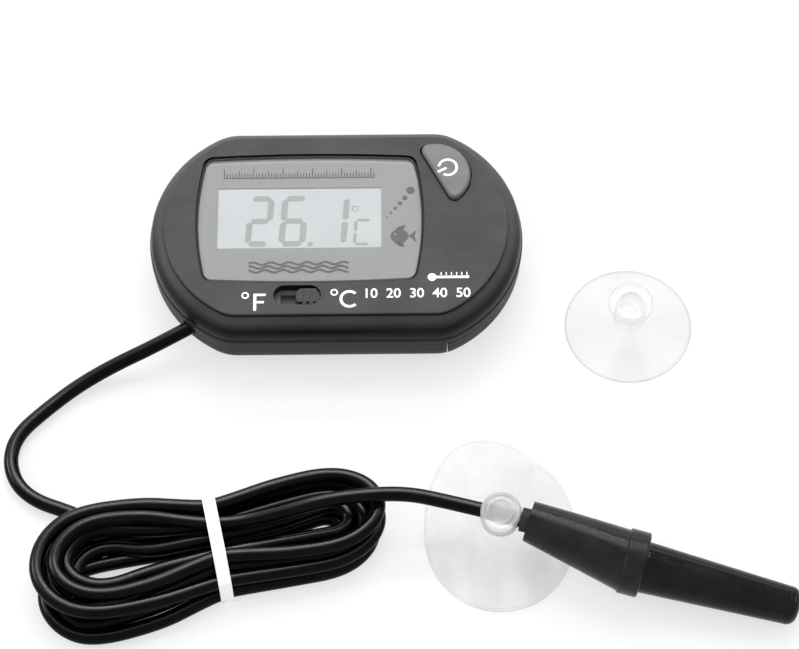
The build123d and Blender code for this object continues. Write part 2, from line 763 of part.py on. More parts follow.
with BuildPart() as probe_tip:
    with BuildSketch(tip_plane()):
        with BuildLine():
            Line((0, tip_length), (tip_radii[1] - 1.9, tip_length))
            ThreePointArc(
                (tip_radii[1] - 1.9, tip_length),
                (tip_radii[1] - 0.5, tip_length - 0.5),
                (tip_radii[1], tip_length - 1.9),
            )
            Line((tip_radii[1], tip_length - 1.9), (tip_radii[0], collar_width + 0.3))
            Line((tip_radii[0], collar_width + 0.3), (tip_radii[0], 0.15))
            Line((tip_radii[0], 0.15), (tip_radii[0] - tip_wall, 0.15))
            Line((tip_radii[0] - tip_wall, 0.15), (tip_radii[1] - tip_wall, tip_length - 2.6))
            Line((tip_radii[1] - tip_wall, tip_length - 2.6), (0, tip_length - tip_wall))
            Line((0, tip_length - tip_wall), (0, tip_length))
        make_face()
    revolve(axis=Axis(tip_start, tip_way))
probe_tip.part.label = "probe_tip"
export_step(probe_tip.part, "parts/probe_tip.step")

bead_place = Vector(*tip_start) + tip_way * (tip_length - 4.5)

with BuildPart() as thermistor:
    with Locations(bead_place):
        Sphere(bead_radius)
    for side in (-0.6, 0.6):
        leg_start = Vector(*tip_start) + tip_way * 0.5 + Vector(0, 0, side)
        with BuildSketch(Plane(origin=leg_start, z_dir=tip_way)):
            Circle(0.25)
        extrude(amount=tip_length - 5.0)
thermistor.part.label = "thermistor"
export_step(thermistor.part, "parts/thermistor.step")

with BuildPart() as probe_potting:
    with BuildSketch(tip_plane()):
        with BuildLine():
            Polyline(
                (0, 0.4),
                (tip_radii[0] - tip_wall - 0.1, 0.4),
                (tip_radii[1] - tip_wall - 0.1, tip_length - 2.8),
                (0, tip_length - tip_wall - 0.4),
                close=True,
            )
        make_face()
    revolve(axis=Axis(tip_start, tip_way))
    add(thermistor.part, mode=Mode.SUBTRACT)
probe_potting.part.label = "probe_potting"
export_step(probe_potting.part, "parts/probe_potting.step")

# ---------------------------------------------------------------- suction cups


def cup_disc(radius, dome, neck_radius, neck_top):
    """Fills half of a cup's section: a thin flared disc with a neck above its middle."""
    with BuildLine() as edge:
        Line((0, 0.9), (0, neck_top))
        Line((0, neck_top), (neck_radius, neck_top))
        foot = neck_radius + 1.1
        Line((neck_radius, neck_top), (neck_radius, dome + 0.9))
        ThreePointArc((neck_radius, dome + 0.9), (neck_radius + 0.32, dome + 0.28), (foot, dome))
        Spline((foot, dome), (0.6 * radius, 0.66 * dome), (radius - 0.2, 0.35))
        ThreePointArc((radius - 0.2, 0.35), (radius, 0.17), (radius - 0.25, 0))
        ThreePointArc((radius - 0.25, 0), cap_middle(radius - 0.25, 0.9, 0.9), (0, 0.9))
    make_face(edge.edges())


with BuildPart() as probe_cup:
    with BuildSketch(Plane.XZ):
        cup_disc(probe_cup_radius, 1.9, 2.5, 4.6)
    revolve(axis=Axis.Z)
    with BuildSketch(Plane.XY.offset(4.2)):
        Circle(nub_radius)
    extrude(amount=3.9)
    nub_rims = probe_cup.edges().filter_by(GeomType.CIRCLE).sort_by(Axis.Z)[-1]
    fillet(nub_rims, 0.6)
    with BuildSketch(Plane.XY.offset(7.6)):
        Circle(1.5)
    extrude(amount=1, mode=Mode.SUBTRACT)

tilt = radians(probe_cup_tilt)
cup_rise = Vector(0, -sin(tilt), cos(tilt))
cup_base = Vector(*nub_centre) - cup_rise * probe_cup_hole_height
placed_cup = probe_cup.part.moved(Location(tuple(cup_base), (probe_cup_tilt, 0, 0)))
with BuildPart() as probe_suction_cup:
    add(placed_cup)
    with BuildSketch(Plane(origin=nub_centre, z_dir=gland_way)):
        Circle(cord_hole_radius)
    extrude(amount=2 * nub_radius, both=True, mode=Mode.SUBTRACT)
probe_suction_cup.part.label = "probe_suction_cup"
export_step(probe_suction_cup.part, "parts/probe_suction_cup.step")

with BuildPart() as loose_cup:
    with BuildSketch(Plane.XZ):
        cup_disc(loose_cup_radius, 1.8, loose_neck_radius, loose_head_base + 0.2)
    revolve(axis=Axis.Z)
    with BuildSketch(Plane.XY.offset(loose_head_base)):
        Circle(loose_head_radius)
    extrude(amount=loose_head_top - loose_head_base)
    head_rims = loose_cup.edges().filter_by(GeomType.CIRCLE).group_by(Axis.Z)[-1]
    fillet(head_rims, 0.6)
    with BuildSketch(Plane.XY.offset(loose_head_top - 0.7)):
        Circle(1.8)
    extrude(amount=1, mode=Mode.SUBTRACT)
display_suction_cup = loose_cup.part.moved(Location((*loose_cup_centre, 0)))
display_suction_cup.label = "display_suction_cup"
export_step(display_suction_cup, "parts/display_suction_cup.step")

hinge_turn = degrees(atan2(gland_way.Y, gland_way.X))
print("cup hinge axis", tuple(round(-v, 4) for v in gland_way), "turn", round(hinge_turn, 2))
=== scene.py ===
"""Looks of a digital aquarium thermometer with a wired probe and two suction cups.

Everything is in metres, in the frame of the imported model: +X to the right of the display, +Y to its top,
+Z out of its face. Sizes below are in millimetres where a name or comment says so, and MM turns them into metres.
"""

import math

import bmesh
import bpy
from mathutils import Matrix, Vector


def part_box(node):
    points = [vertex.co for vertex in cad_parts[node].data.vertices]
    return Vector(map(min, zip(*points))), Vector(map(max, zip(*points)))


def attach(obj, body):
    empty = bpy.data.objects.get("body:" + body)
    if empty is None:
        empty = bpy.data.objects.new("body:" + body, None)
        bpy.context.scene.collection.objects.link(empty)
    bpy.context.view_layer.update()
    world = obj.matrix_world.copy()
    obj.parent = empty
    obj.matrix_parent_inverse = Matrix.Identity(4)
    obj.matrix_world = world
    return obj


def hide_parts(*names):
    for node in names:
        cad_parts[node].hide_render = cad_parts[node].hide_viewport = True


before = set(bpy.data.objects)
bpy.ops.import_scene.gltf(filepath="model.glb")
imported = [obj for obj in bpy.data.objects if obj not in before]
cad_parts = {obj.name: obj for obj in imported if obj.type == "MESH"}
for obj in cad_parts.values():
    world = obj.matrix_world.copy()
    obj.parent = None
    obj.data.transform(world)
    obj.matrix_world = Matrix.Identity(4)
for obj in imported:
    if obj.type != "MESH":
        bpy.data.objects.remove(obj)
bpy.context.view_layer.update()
MM = 0.001

# ---------------------------------------------------------------- camera


def add_camera():
    """A long lens that looks down at the thermometer from its lower side."""
    elevation, roll, distance = math.radians(62.0), math.radians(-0.5), 0.510
    target = Vector((10.47, -12.08, 0.0)) * MM
    forward = Vector((0, math.cos(elevation), -math.sin(elevation)))
    level = Vector((1, 0, 0))
    rise = level.cross(forward)
    right = level * math.cos(roll) + rise * math.sin(roll)
    up = rise * math.cos(roll) - level * math.sin(roll)
    data = bpy.data.cameras.new("photo_camera")
    data.sensor_width = 36.0
    data.lens = 136.75
    data.clip_start = 0.01
    data.clip_end = 20.0
    camera = bpy.data.objects.new("photo_camera", data)
    bpy.context.scene.collection.objects.link(camera)
    axes = Matrix((right, up, -forward)).transposed()
    camera.matrix_world = Matrix.Translation(target - forward * distance) @ axes.to_4x4()
    bpy.context.scene.camera = camera


add_camera()

SEAM_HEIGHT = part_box("front_shell")[0].z / MM

# ---------------------------------------------------------------- building materials


class Finish:
    """A material being made, with short calls for the nodes it uses. Lengths are in millimetres."""

    def __init__(self, name):
        self.material = bpy.data.materials.new(name)
        self.material.use_nodes = True
        self.tree = self.material.node_tree
        self.tree.nodes.clear()
        self.output = self.tree.nodes.new("ShaderNodeOutputMaterial")
        scale = self.node("ShaderNodeVectorMath", operation="SCALE")
        coordinates = self.tree.nodes.new("ShaderNodeTexCoord")
        self.tree.links.new(coordinates.outputs["Object"], scale.inputs[0])
        scale.inputs["Scale"].default_value = 1 / MM
        self.place = scale.outputs[0]

    def node(self, kind, **settings):
        node = self.tree.nodes.new(kind)
        for key, value in settings.items():
            setattr(node, key, value)
        return node

    def put(self, socket, value):
        if isinstance(value, bpy.types.NodeSocket):
            self.tree.links.new(value, socket)
        else:
            socket.default_value = value

    def stretched(self, factors):
        node = self.node("ShaderNodeVectorMath", operation="MULTIPLY")
        self.put(node.inputs[0], self.place)
        node.inputs[1].default_value = factors
        return node.outputs[0]

    def noise(self, size, detail=2.0, roughness=0.5, stretch=None, distortion=0.0):
        """Cloudy noise whose blobs are about size across."""
        node = self.node("ShaderNodeTexNoise")
        self.put(node.inputs["Vector"], self.stretched(stretch) if stretch else self.place)
        node.inputs["Scale"].default_value = 1 / size
        node.inputs["Detail"].default_value = detail
        node.inputs["Roughness"].default_value = roughness
        node.inputs["Distortion"].default_value = distortion
        return node.outputs["Fac"]

    def distance(self, centre):
        """Distance from a point."""
        node = self.node("ShaderNodeVectorMath", operation="DISTANCE")
        self.put(node.inputs[0], self.place)
        node.inputs[1].default_value = centre
        return node.outputs["Value"]

    def cells(self, size):
        """Distance to the nearest of scattered points that are about size apart."""
        node = self.node("ShaderNodeTexVoronoi", feature="F1")
        self.put(node.inputs["Vector"], self.place)
        node.inputs["Scale"].default_value = 1 / size
        return node.outputs["Distance"]

    def axis(self, index, of=None):
        node = self.node("ShaderNodeSeparateXYZ")
        self.put(node.inputs[0], of or self.place)
        return node.outputs[index]

    def facing_axis(self, index):
        """How far the surface faces along an axis, from -1 to 1."""
        return self.axis(index, self.node("ShaderNodeNewGeometry").outputs["Normal"])

    def math(self, operation, a, b=0.0):
        node = self.node("ShaderNodeMath", operation=operation)
        self.put(node.inputs[0], a)
        self.put(node.inputs[1], b)
        return node.outputs[0]

    def plus(self, a, b, share):
        """a and that share of b."""
        return self.math("ADD", a, self.math("MULTIPLY", b, share))

    def spread(self, value, low, high, to_low=0.0, to_high=1.0):
        """The value, mapped smoothly from one range to another and held at its ends."""
        node = self.node("ShaderNodeMapRange", interpolation_type="SMOOTHSTEP")
        self.put(node.inputs["Value"], value)
        node.inputs["From Min"].default_value = low
        node.inputs["From Max"].default_value = high
        node.inputs["To Min"].default_value = to_low
        node.inputs["To Max"].default_value = to_high
        return node.outputs[0]

    def blend(self, factor, a, b):
        """Colour a where the factor is 0, b where it is 1."""
        node = self.node("ShaderNodeMix", data_type="RGBA")
        self.put(node.inputs["Factor"], factor)
        self.put(node.inputs[6], a if isinstance(a, bpy.types.NodeSocket) else rgba(a))
        self.put(node.inputs[7], b if isinstance(b, bpy.types.NodeSocket) else rgba(b))
        return node.outputs[2]

    def bump(self, height, depth, normal=None):
        """A surface relief of about depth between the height's 0 and 1."""
        node = self.node("ShaderNodeBump")
        self.put(node.inputs["Height"], height)
        node.inputs["Strength"].default_value = 1.0
        node.inputs["Distance"].default_value = depth * MM
        if normal is not None:
            self.put(node.inputs["Normal"], normal)
        return node.outputs[0]

    def surface(self, **inputs):
        """The main shader, with inputs by name: Base_Color=..., Roughness=..., Normal=..."""
        node = self.node("ShaderNodeBsdfPrincipled")
        for key, value in inputs.items():
            if key == "Base_Color" and not isinstance(value, bpy.types.NodeSocket):
                value = rgba(value)
            self.put(node.inputs[key.replace("_", " ")], value)
        return node.outputs[0]

    def see_through(self, cover, solid, tint=1.0):
        """The solid shader over a clear one, as far as cover says."""
        clear = self.node("ShaderNodeBsdfTransparent")
        clear.inputs["Color"].default_value = rgba(tint)
        mix = self.node("ShaderNodeMixShader")
        for socket, value in zip(mix.inputs, (cover, clear.outputs[0], solid)):
            self.put(socket, value)
        return mix.outputs[0]

    def done(self, shader):
        self.put(self.output.inputs["Surface"], shader)
        return self.material


def rgba(colour):
    if isinstance(colour, (int, float)):
        colour = (colour, colour, colour)
    return (*colour, 1.0)


def moulded(name, colour, rough, grain=0.12, depth=0.012, mottle=0.12, specular=0.5):
    """Injection-moulded plastic with a fine spark-eroded grain, faint flow marks and a mottled tone that is darker
    in the hollows of its grain.
    """
    f = Finish(name)
    fine = f.noise(grain, 3.0, 0.6)
    cloud = f.noise(7.0, 3.0, 0.55)
    flow = f.noise(3.0, 2.0, 0.5, stretch=(0.25, 1.0, 1.0), distortion=0.6)
    light = tuple(c * (1 + mottle) for c in colour)
    dark = tuple(c * (1 - mottle) for c in colour)
    shade = f.math("ADD", f.math("MULTIPLY", cloud, 0.6), f.math("MULTIPLY", fine, 0.4))
    tone = f.blend(f.spread(shade, 0.3, 0.7), dark, light)
    roughness = f.spread(flow, 0.3, 0.75, rough - 0.05, rough + 0.06)
    relief = f.bump(flow, depth * 1.2, f.bump(fine, depth))
    return f.done(f.surface(Base_Color=tone, Roughness=roughness, Specular_IOR_Level=specular, Normal=relief))


def shell_plastic(name):
    """Dark case plastic, grained on face, back and underside and darker below its seam; its smoother sides are
    painted darker as shade, and its face has a painted sheen at grazing angles.
    """
    f = Finish(name)
    up = f.facing_axis(2)
    height = f.axis(2)
    face = f.spread(up, 0.45, 0.93)
    back = f.spread(height, SEAM_HEIGHT + 1.0, SEAM_HEIGHT + 0.7)
    under = f.spread(up, -0.3, -0.8)
    grained = f.math("MAXIMUM", face, f.math("MAXIMUM", back, under))
    fine = f.noise(0.11, 3.0, 0.65)
    pits = f.cells(0.2)
    cloud = f.noise(9.0, 3.0, 0.55)
    flow = f.noise(2.6, 2.0, 0.5, stretch=(0.2, 1.0, 1.0), distortion=0.8)
    speck = f.spread(f.math("ADD", f.math("MULTIPLY", fine, 0.55), f.math("MULTIPLY", cloud, 0.45)), 0.32, 0.68)
    grain_tone = f.blend(speck, (0.026, 0.026, 0.0264), (0.046, 0.046, 0.0464))
    # Painted shade: the sides, which face away from the lights, get a far darker colour than the face.
    side_shade_tone = f.blend(f.spread(cloud, 0.3, 0.7), (0.0036, 0.0036, 0.0038), (0.0064, 0.0064, 0.0067))
    grain_tone = f.blend(f.math("MULTIPLY", back, 0.75), grain_tone, (0.010, 0.010, 0.0103))
    tone = f.blend(grained, side_shade_tone, grain_tone)
    # Painted sheen: the face is lightened where it is seen at a grazing angle.
    weight = f.node("ShaderNodeLayerWeight")
    grazing = f.math("POWER", weight.outputs["Facing"], 1.5)
    tone = f.blend(f.math("MULTIPLY", f.math("MULTIPLY", grazing, face), 0.9), tone, 0.13)
    rub = f.spread(f.noise(0.9, 4.0, 0.7, stretch=(0.15, 1.0, 1.0)), 0.6, 0.78)
    tone = f.blend(f.math("MULTIPLY", f.math("MULTIPLY", rub, grained), 0.16), tone, 0.10)
    relief_height = f.math("ADD", f.math("MULTIPLY", fine, 0.6), f.math("MULTIPLY", pits, 0.5))
    relief = f.bump(f.math("MULTIPLY", relief_height, grained), 0.018, f.bump(flow, 0.008))
    roughness = f.math("ADD", f.spread(grained, 0, 1, 0.30, 0.52), f.spread(flow, 0.3, 0.75, -0.03, 0.05))
    gloss = f.spread(grained, 0, 1, 0.12, 0.25)
    return f.done(f.surface(Base_Color=tone, Roughness=roughness, Specular_IOR_Level=gloss, Normal=relief))


def cord_plastic(name):
    """Black cord sheath with bloom. Its gloss is raised where it faces up, for the photo's highlights."""
    f = Finish(name)
    bloom = f.noise(5.0, 3.0, 0.6)
    fine = f.noise(0.25, 3.0, 0.6)
    ripple = f.noise(1.4, 2.0, 0.5)
    tone = f.blend(f.spread(bloom, 0.35, 0.7), (0.0012, 0.0012, 0.0013), (0.0030, 0.0030, 0.0032))
    roughness = f.plus(f.spread(bloom, 0.3, 0.7, 0.16, 0.24), fine, 0.04)
    relief = f.bump(ripple, 0.02, f.bump(fine, 0.003))
    crest = f.math("MULTIPLY", f.spread(f.facing_axis(2), 0.76, 0.95), f.spread(f.facing_axis(1), -0.32, -0.06))
    gloss = f.spread(crest, 0.0, 1.0, 0.06, 0.36)
    return f.done(f.surface(Base_Color=tone, Roughness=roughness, Specular_IOR_Level=gloss, Normal=relief))


def rubber(name, dark, light, rough, grain, depth, gloss=0.2):
    """Moulded rubber or soft plastic with a fine grain, bloom and small nicks."""
    f = Finish(name)
    fine = f.noise(grain, 4.0, 0.65)
    bloom = f.noise(4.0, 3.0, 0.6, distortion=0.4)
    nicks = f.spread(f.cells(1.7), 0.10, 0.02)
    tone = f.blend(f.spread(bloom, 0.35, 0.7), dark, light)
    tone = f.blend(f.math("MULTIPLY", nicks, 0.3), tone, tuple(2.2 * c for c in light))
    roughness = f.plus(f.spread(bloom, 0.3, 0.7, rough - 0.05, rough + 0.06), nicks, 0.1)
    relief = f.bump(f.math("SUBTRACT", fine, f.math("MULTIPLY", nicks, 0.6)), depth, f.bump(bloom, depth * 2))
    return f.done(f.surface(Base_Color=tone, Roughness=roughness, Specular_IOR_Level=gloss, Normal=relief))


def clear_plastic(name, veil, edge_cover, head, milk, rim=None, shaded_side=None):
    """Soft clear PVC: a faint grey veil with painted reflection in broad soft sectors and painted shade at its
    edges, with streaks and specks.

    head is the middle, outer and inner radius of the part that turns milky, by milk. rim is the middle, inner
    and outer radius of the round edge, which is painted darker as shade. The last argument is the range of y
    over which painted shade and painted reflection bands make it greyer. All are in millimetres.
    """
    f = Finish(name)
    weight = f.node("ShaderNodeLayerWeight")
    weight.inputs["Blend"].default_value = 0.35
    streak = f.noise(2.5, 3.0, 0.55, distortion=1.2)
    fine = f.noise(0.5, 3.0, 0.6)
    specks = f.spread(f.cells(3.1), 0.05, 0.02)
    # Painted shade: where the plastic is seen at a grazing angle it gets more cover and a darker tone.
    grazing = f.math("POWER", weight.outputs["Facing"], 2.4)
    # Painted reflection: soft greyer sectors that follow the direction the surface faces.
    sector = f.node("ShaderNodeTexNoise")
    f.put(sector.inputs["Vector"], f.node("ShaderNodeNewGeometry").outputs["Normal"])
    sector.inputs["Scale"].default_value = 3.2
    sector.inputs["Detail"].default_value = 0.5
    sector_reflection = f.spread(sector.outputs["Fac"], 0.36, 0.64, 0.45 * veil, 1.6 * veil)
    head_centre, head_outer, head_inner = head
    milky = f.spread(f.distance(head_centre), head_outer, head_inner)
    cover = f.math("ADD", f.math("MULTIPLY", grazing, edge_cover), sector_reflection)
    cover = f.math("ADD", cover, f.math("MULTIPLY", milky, milk))
    dark = grazing
    if rim:
        rim_centre, rim_inner, rim_outer = rim
        edge = f.spread(f.distance(rim_centre), rim_inner, rim_outer)
        # Painted reflection: four soft greyer sectors round the cup.
        across = f.math("SUBTRACT", f.axis(0), rim_centre[0])
        along = f.math("SUBTRACT", f.axis(1), rim_centre[1])
        turn = f.math("MULTIPLY", f.math("ARCTAN2", along, across), 4.0)
        cover = f.math("ADD", cover, f.spread(f.math("COSINE", turn), -0.7, 0.7, 0.0, 0.035))
        # Painted shade: the round edge gets more cover and a darker tone.
        cover = f.plus(cover, edge, 0.13)
        dark = f.math("MAXIMUM", dark, f.math("MULTIPLY", edge, 0.35))
    if shaded_side:
        # Painted shade and painted reflection: the near side of the cup gets greyer, in soft bands.
        side_shade = f.spread(f.axis(1), *shaded_side)
        bands = f.noise(4.2, 1.0, 0.4, stretch=(1.0, 0.22, 0.22))
        side_shade = f.math("MULTIPLY", side_shade, f.spread(bands, 0.34, 0.62, 0.5, 1.3))
        cover = f.plus(cover, side_shade, 0.075)
    cover = f.math("ADD", cover, f.spread(streak, 0.4, 0.75, 0.0, 0.02))
    cover = f.plus(cover, specks, 0.10)
    # Painted shade: the tone is darker at grazing angles and at the rim.
    tone = f.blend(f.spread(dark, 0.05, 0.6), (0.42, 0.42, 0.425), (0.13, 0.13, 0.133))
    tone = f.blend(f.math("MULTIPLY", milky, f.math("SUBTRACT", 0.95, dark)), tone, (0.66, 0.66, 0.665))
    relief = f.bump(streak, 0.05, f.bump(fine, 0.005))
    solid = f.surface(Base_Color=tone, Roughness=0.16, Specular_IOR_Level=0.6, Normal=relief)
    return f.done(f.see_through(cover, solid, 0.990))


def clear_lens(name):
    """Hard clear acrylic: a thin window that only shows its gloss, fine hairlines and a dark cut edge."""
    f = Finish(name)
    up = f.math("ABSOLUTE", f.facing_axis(2))
    edge = f.spread(up, 0.9, 0.3)
    fresnel = f.node("ShaderNodeFresnel")
    fresnel.inputs["IOR"].default_value = 1.45
    hair = f.spread(f.noise(0.7, 4.0, 0.7, stretch=(0.06, 1.0, 1.0)), 0.62, 0.8)
    cover = f.math("ADD", f.math("MULTIPLY", fresnel.outputs[0], 0.9), f.math("MULTIPLY", hair, 0.02))
    cover = f.plus(cover, edge, 0.6)
    tone = f.blend(edge, 0.5, (0.10, 0.10, 0.105))
    wave = f.noise(12.0, 2.0, 0.5)
    solid = f.surface(Base_Color=tone, Roughness=0.06, Normal=f.bump(wave, 0.03))
    return f.done(f.see_through(cover, solid))


def ink(name, colour, rough=0.45):
    """Screen-printed ink, slightly uneven in cover and gloss."""
    f = Finish(name)
    patch = f.noise(0.5, 4.0, 0.7)
    fine = f.noise(0.09, 2.0, 0.6)
    thin = f.spread(f.math("ADD", f.math("MULTIPLY", patch, 0.6), f.math("MULTIPLY", fine, 0.4)), 0.35, 0.7)
    tone = f.blend(thin, tuple(0.88 * c for c in colour), tuple(min(1.0, 1.06 * c) for c in colour))
    roughness = f.spread(patch, 0.3, 0.7, rough - 0.08, rough + 0.08)
    return f.done(f.surface(Base_Color=tone, Roughness=roughness, Normal=f.bump(fine, 0.004)))


def metal(name, colour, rough, grain=0.2, stretch=None, stain=0.1):
    """Plated or rolled metal with fine brushing, dull patches and fingerprints."""
    f = Finish(name)
    brush = f.noise(grain, 3.0, 0.6, stretch=stretch)
    patch = f.noise(2.2, 4.0, 0.6, distortion=0.5)
    tone = f.blend(f.spread(patch, 0.35, 0.75), colour, tuple(c * (1 - 2.5 * stain) for c in colour))
    roughness = f.plus(f.spread(patch, 0.3, 0.75, rough - 0.05, rough + 0.12), brush, 0.06)
    return f.done(f.surface(Base_Color=tone, Metallic=1.0, Roughness=roughness, Normal=f.bump(brush, 0.006)))


def display_glass(name):
    """Liquid crystal cell: a pale reflective film with a faint segment ghost grain and darker sealed edges."""
    f = Finish(name)
    x, y = f.axis(0), f.axis(1)
    low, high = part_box("lcd_glass")
    left, right, bottom = low.x / MM, high.x / MM, low.y / MM
    inside = f.math("MULTIPLY", f.spread(x, left + 0.8, left + 1.3), f.spread(x, right - 0.8, right - 1.3))
    inside = f.math("MULTIPLY", inside, f.spread(y, bottom + 1.0, bottom + 1.5))
    sparkle = f.noise(0.07, 2.0, 0.6)
    cloud = f.noise(9.0, 2.0, 0.5)
    film = f.blend(f.spread(cloud, 0.3, 0.7), (0.655, 0.71, 0.715), (0.715, 0.77, 0.775))
    film = f.blend(f.math("MULTIPLY", f.spread(sparkle, 0.4, 0.7), 0.2), film, (0.60, 0.65, 0.655))
    tone = f.blend(inside, (0.20, 0.22, 0.22), film)
    side = f.spread(f.facing_axis(2), 0.5, 0.9)
    tone = f.blend(side, (0.30, 0.36, 0.35), tone)
    roughness = f.spread(sparkle, 0.3, 0.7, 0.25, 0.34)
    return f.done(f.surface(Base_Color=tone, Roughness=roughness, Normal=f.bump(sparkle, 0.003)))


def board_finish(name):
    """Green solder mask over a pattern of tracks, with bare board at its cut edge."""
    f = Finish(name)
    wave = f.node("ShaderNodeTexWave", wave_type="BANDS", bands_direction="DIAGONAL")
    f.put(wave.inputs["Vector"], f.place)
    wave.inputs["Scale"].default_value = 0.35
    wave.inputs["Distortion"].default_value = 3.5
    wave.inputs["Detail"].default_value = 1.0
    track = f.spread(wave.outputs["Fac"], 0.55, 0.62)
    vias = f.spread(f.cells(2.3), 0.16, 0.13)
    edge = f.spread(f.math("ABSOLUTE", f.facing_axis(2)), 0.8, 0.4)
    tone = f.blend(track, (0.010, 0.085, 0.035), (0.022, 0.165, 0.070))
    tone = f.blend(vias, tone, (0.60, 0.47, 0.22))
    tone = f.blend(edge, tone, (0.42, 0.38, 0.22))
    weave = f.noise(0.3, 3.0, 0.6)
    relief = f.bump(f.plus(track, weave, 0.3), 0.03)
    return f.done(f.surface(Base_Color=tone, Roughness=f.spread(weave, 0.3, 0.7, 0.28, 0.42), Normal=relief))


def contact_strip(name):
    """Silicone connector of fine black and pink layers."""
    f = Finish(name)
    wave = f.node("ShaderNodeTexWave", wave_type="BANDS", bands_direction="X")
    f.put(wave.inputs["Vector"], f.place)
    wave.inputs["Scale"].default_value = 2.2
    wave.inputs["Distortion"].default_value = 0.1
    tone = f.blend(f.spread(wave.outputs["Fac"], 0.4, 0.6), 0.015, (0.55, 0.22, 0.18))
    return f.done(f.surface(Base_Color=tone, Roughness=0.55, Normal=f.bump(f.noise(0.3, 3.0), 0.01)))


def resin(name, colour, deep):
    """Potting or bead resin: glossy, cloudy and slightly dimpled."""
    f = Finish(name)
    cloud = f.noise(1.5, 3.0, 0.6, distortion=0.5)
    dimple = f.noise(0.8, 2.0, 0.5)
    tone = f.blend(f.spread(cloud, 0.3, 0.7), deep, colour)
    roughness = f.spread(cloud, 0.3, 0.7, 0.12, 0.24)
    return f.done(f.surface(Base_Color=tone, Roughness=roughness, Coat_Weight=0.3, Normal=f.bump(dimple, 0.05)))


def pale_floor(name):
    """Plain pale table that gives off some light, so that it stays white."""
    f = Finish(name)
    cloud = f.noise(160.0, 2.0, 0.5)
    fine = f.noise(0.8, 3.0, 0.6)
    tone = f.blend(f.spread(cloud, 0.3, 0.7), 0.295, 0.305)
    lit = f.surface(
        Base_Color=tone,
        Roughness=0.8,
        Specular_IOR_Level=0.1,
        Emission_Color=rgba(1.0),
        Emission_Strength=0.62,
        Normal=f.bump(fine, 0.003),
    )
    return f.done(lit)


LOOSE_CUP_CENTRE = (48.8, -12.9)
NUB_CENTRE = Vector((26.4, -50.78, 7.87))  # where the cord passes the probe cup's nub

look = {
    "shell": shell_plastic("shell_black_abs"),
    "knob": moulded("knob_black_abs", (0.012, 0.012, 0.012), 0.38, 0.10, 0.010, specular=0.3),
    "button": moulded("button_grey_abs", (0.098, 0.100, 0.104), 0.42, 0.10, 0.010, 0.06),
    "switch": moulded("switch_grey_nylon", (0.13, 0.13, 0.132), 0.5, 0.12, 0.010, 0.10),
    "white": moulded("frame_white_abs", (0.62, 0.62, 0.60), 0.45, 0.14, 0.012, 0.05),
    "lens": clear_lens("lens_clear_acrylic"),
    "panel": ink("panel_grey_ink", (0.415, 0.415, 0.421), 0.42),
    "marks": ink("marks_dark_grey_ink", (0.13, 0.13, 0.132)),
    "white_ink": ink("marks_white_ink", (0.90, 0.90, 0.90)),
    "glass": display_glass("display_glass"),
    "segments": ink("display_segments", (0.43, 0.45, 0.46), 0.3),
    "reflector": metal("reflector_film", (0.78, 0.79, 0.78), 0.35, 0.3),
    "strip": contact_strip("contact_strip"),
    "board": board_finish("circuit_board_green"),
    "chip": resin("chip_black_resin", (0.020, 0.020, 0.022), (0.008, 0.008, 0.009)),
    "steel": metal("screw_steel", (0.62, 0.61, 0.59), 0.28, 0.15),
    "cell": metal("cell_steel", (0.72, 0.71, 0.69), 0.22, 0.25, (1.0, 0.12, 1.0), 0.06),
    "dome": metal("dome_steel", (0.66, 0.64, 0.60), 0.25, 0.12),
    "spring": metal("contact_plated", (0.70, 0.66, 0.56), 0.28, 0.2, (0.2, 1.0, 1.0)),
    "copper": metal("lead_copper", (0.78, 0.42, 0.26), 0.3, 0.15, stain=0.14),
    "cord": cord_plastic("cord_black_pvc"),
    "grommet": rubber("grommet_black_rubber", 0.016, (0.030, 0.030, 0.030), 0.55, 0.15, 0.02),
    "boot": rubber(
        "boot_black_rubber", (0.0036, 0.0036, 0.0039), (0.0085, 0.0085, 0.0089), 0.25, 0.16, 0.014, 0.22
    ),
    "collar": rubber(
        "collar_black_rubber", (0.0036, 0.0036, 0.0039), (0.0095, 0.0095, 0.0099), 0.27, 0.22, 0.022, 0.22
    ),
    "tip": rubber(
        "tip_black_plastic", (0.0020, 0.0020, 0.0023), (0.0050, 0.0050, 0.0054), 0.15, 0.30, 0.007, 0.16
    ),
    "tie": moulded("tie_white_plastic", (0.86, 0.86, 0.85), 0.40, 0.25, 0.015, 0.03),
    "potting": resin("potting_amber_resin", (0.30, 0.16, 0.05), (0.12, 0.06, 0.02)),
    "bead": resin("bead_epoxy", (0.04, 0.03, 0.03), (0.02, 0.015, 0.015)),
    "cup": clear_plastic(
        "cup_clear_pvc",
        veil=0.042,
        edge_cover=0.36,
        head=((*LOOSE_CUP_CENTRE, 8.3), 4.6, 3.6),
        milk=0.13,
        rim=((*LOOSE_CUP_CENTRE, 0.3), 10.15, 10.5),
    ),
    "probe_cup": clear_plastic(
        "probe_cup_clear_pvc",
        veil=0.048,
        edge_cover=1.2,
        head=(NUB_CENTRE, 4.9, 4.2),
        milk=0.34,
        shaded_side=(-50.5, -56.0),
    ),
}

# ---------------------------------------------------------------- building pieces


def add_piece(name, mesh, material, body, replaces=()):
    """Puts a mesh in the scene as a piece of the thermometer."""
    piece = bpy.data.objects.new(name, mesh)
    bpy.context.scene.collection.objects.link(piece)
    mesh.materials.clear()
    mesh.materials.append(material)
    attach(piece, body)
    if replaces:
        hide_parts(*replaces)
    return piece


def mesh_from(vertices, faces, smooth=True):
    """A mesh from points in millimetres."""
    mesh = bpy.data.meshes.new("mesh")
    mesh.from_pydata([tuple(c * MM for c in v) for v in vertices], [], faces)
    mesh.validate()
    bm = bmesh.new()
    bm.from_mesh(mesh)
    bmesh.ops.recalc_face_normals(bm, faces=bm.faces)
    bm.to_mesh(mesh)
    bm.free()
    if smooth:
        mesh.shade_smooth()
    return mesh


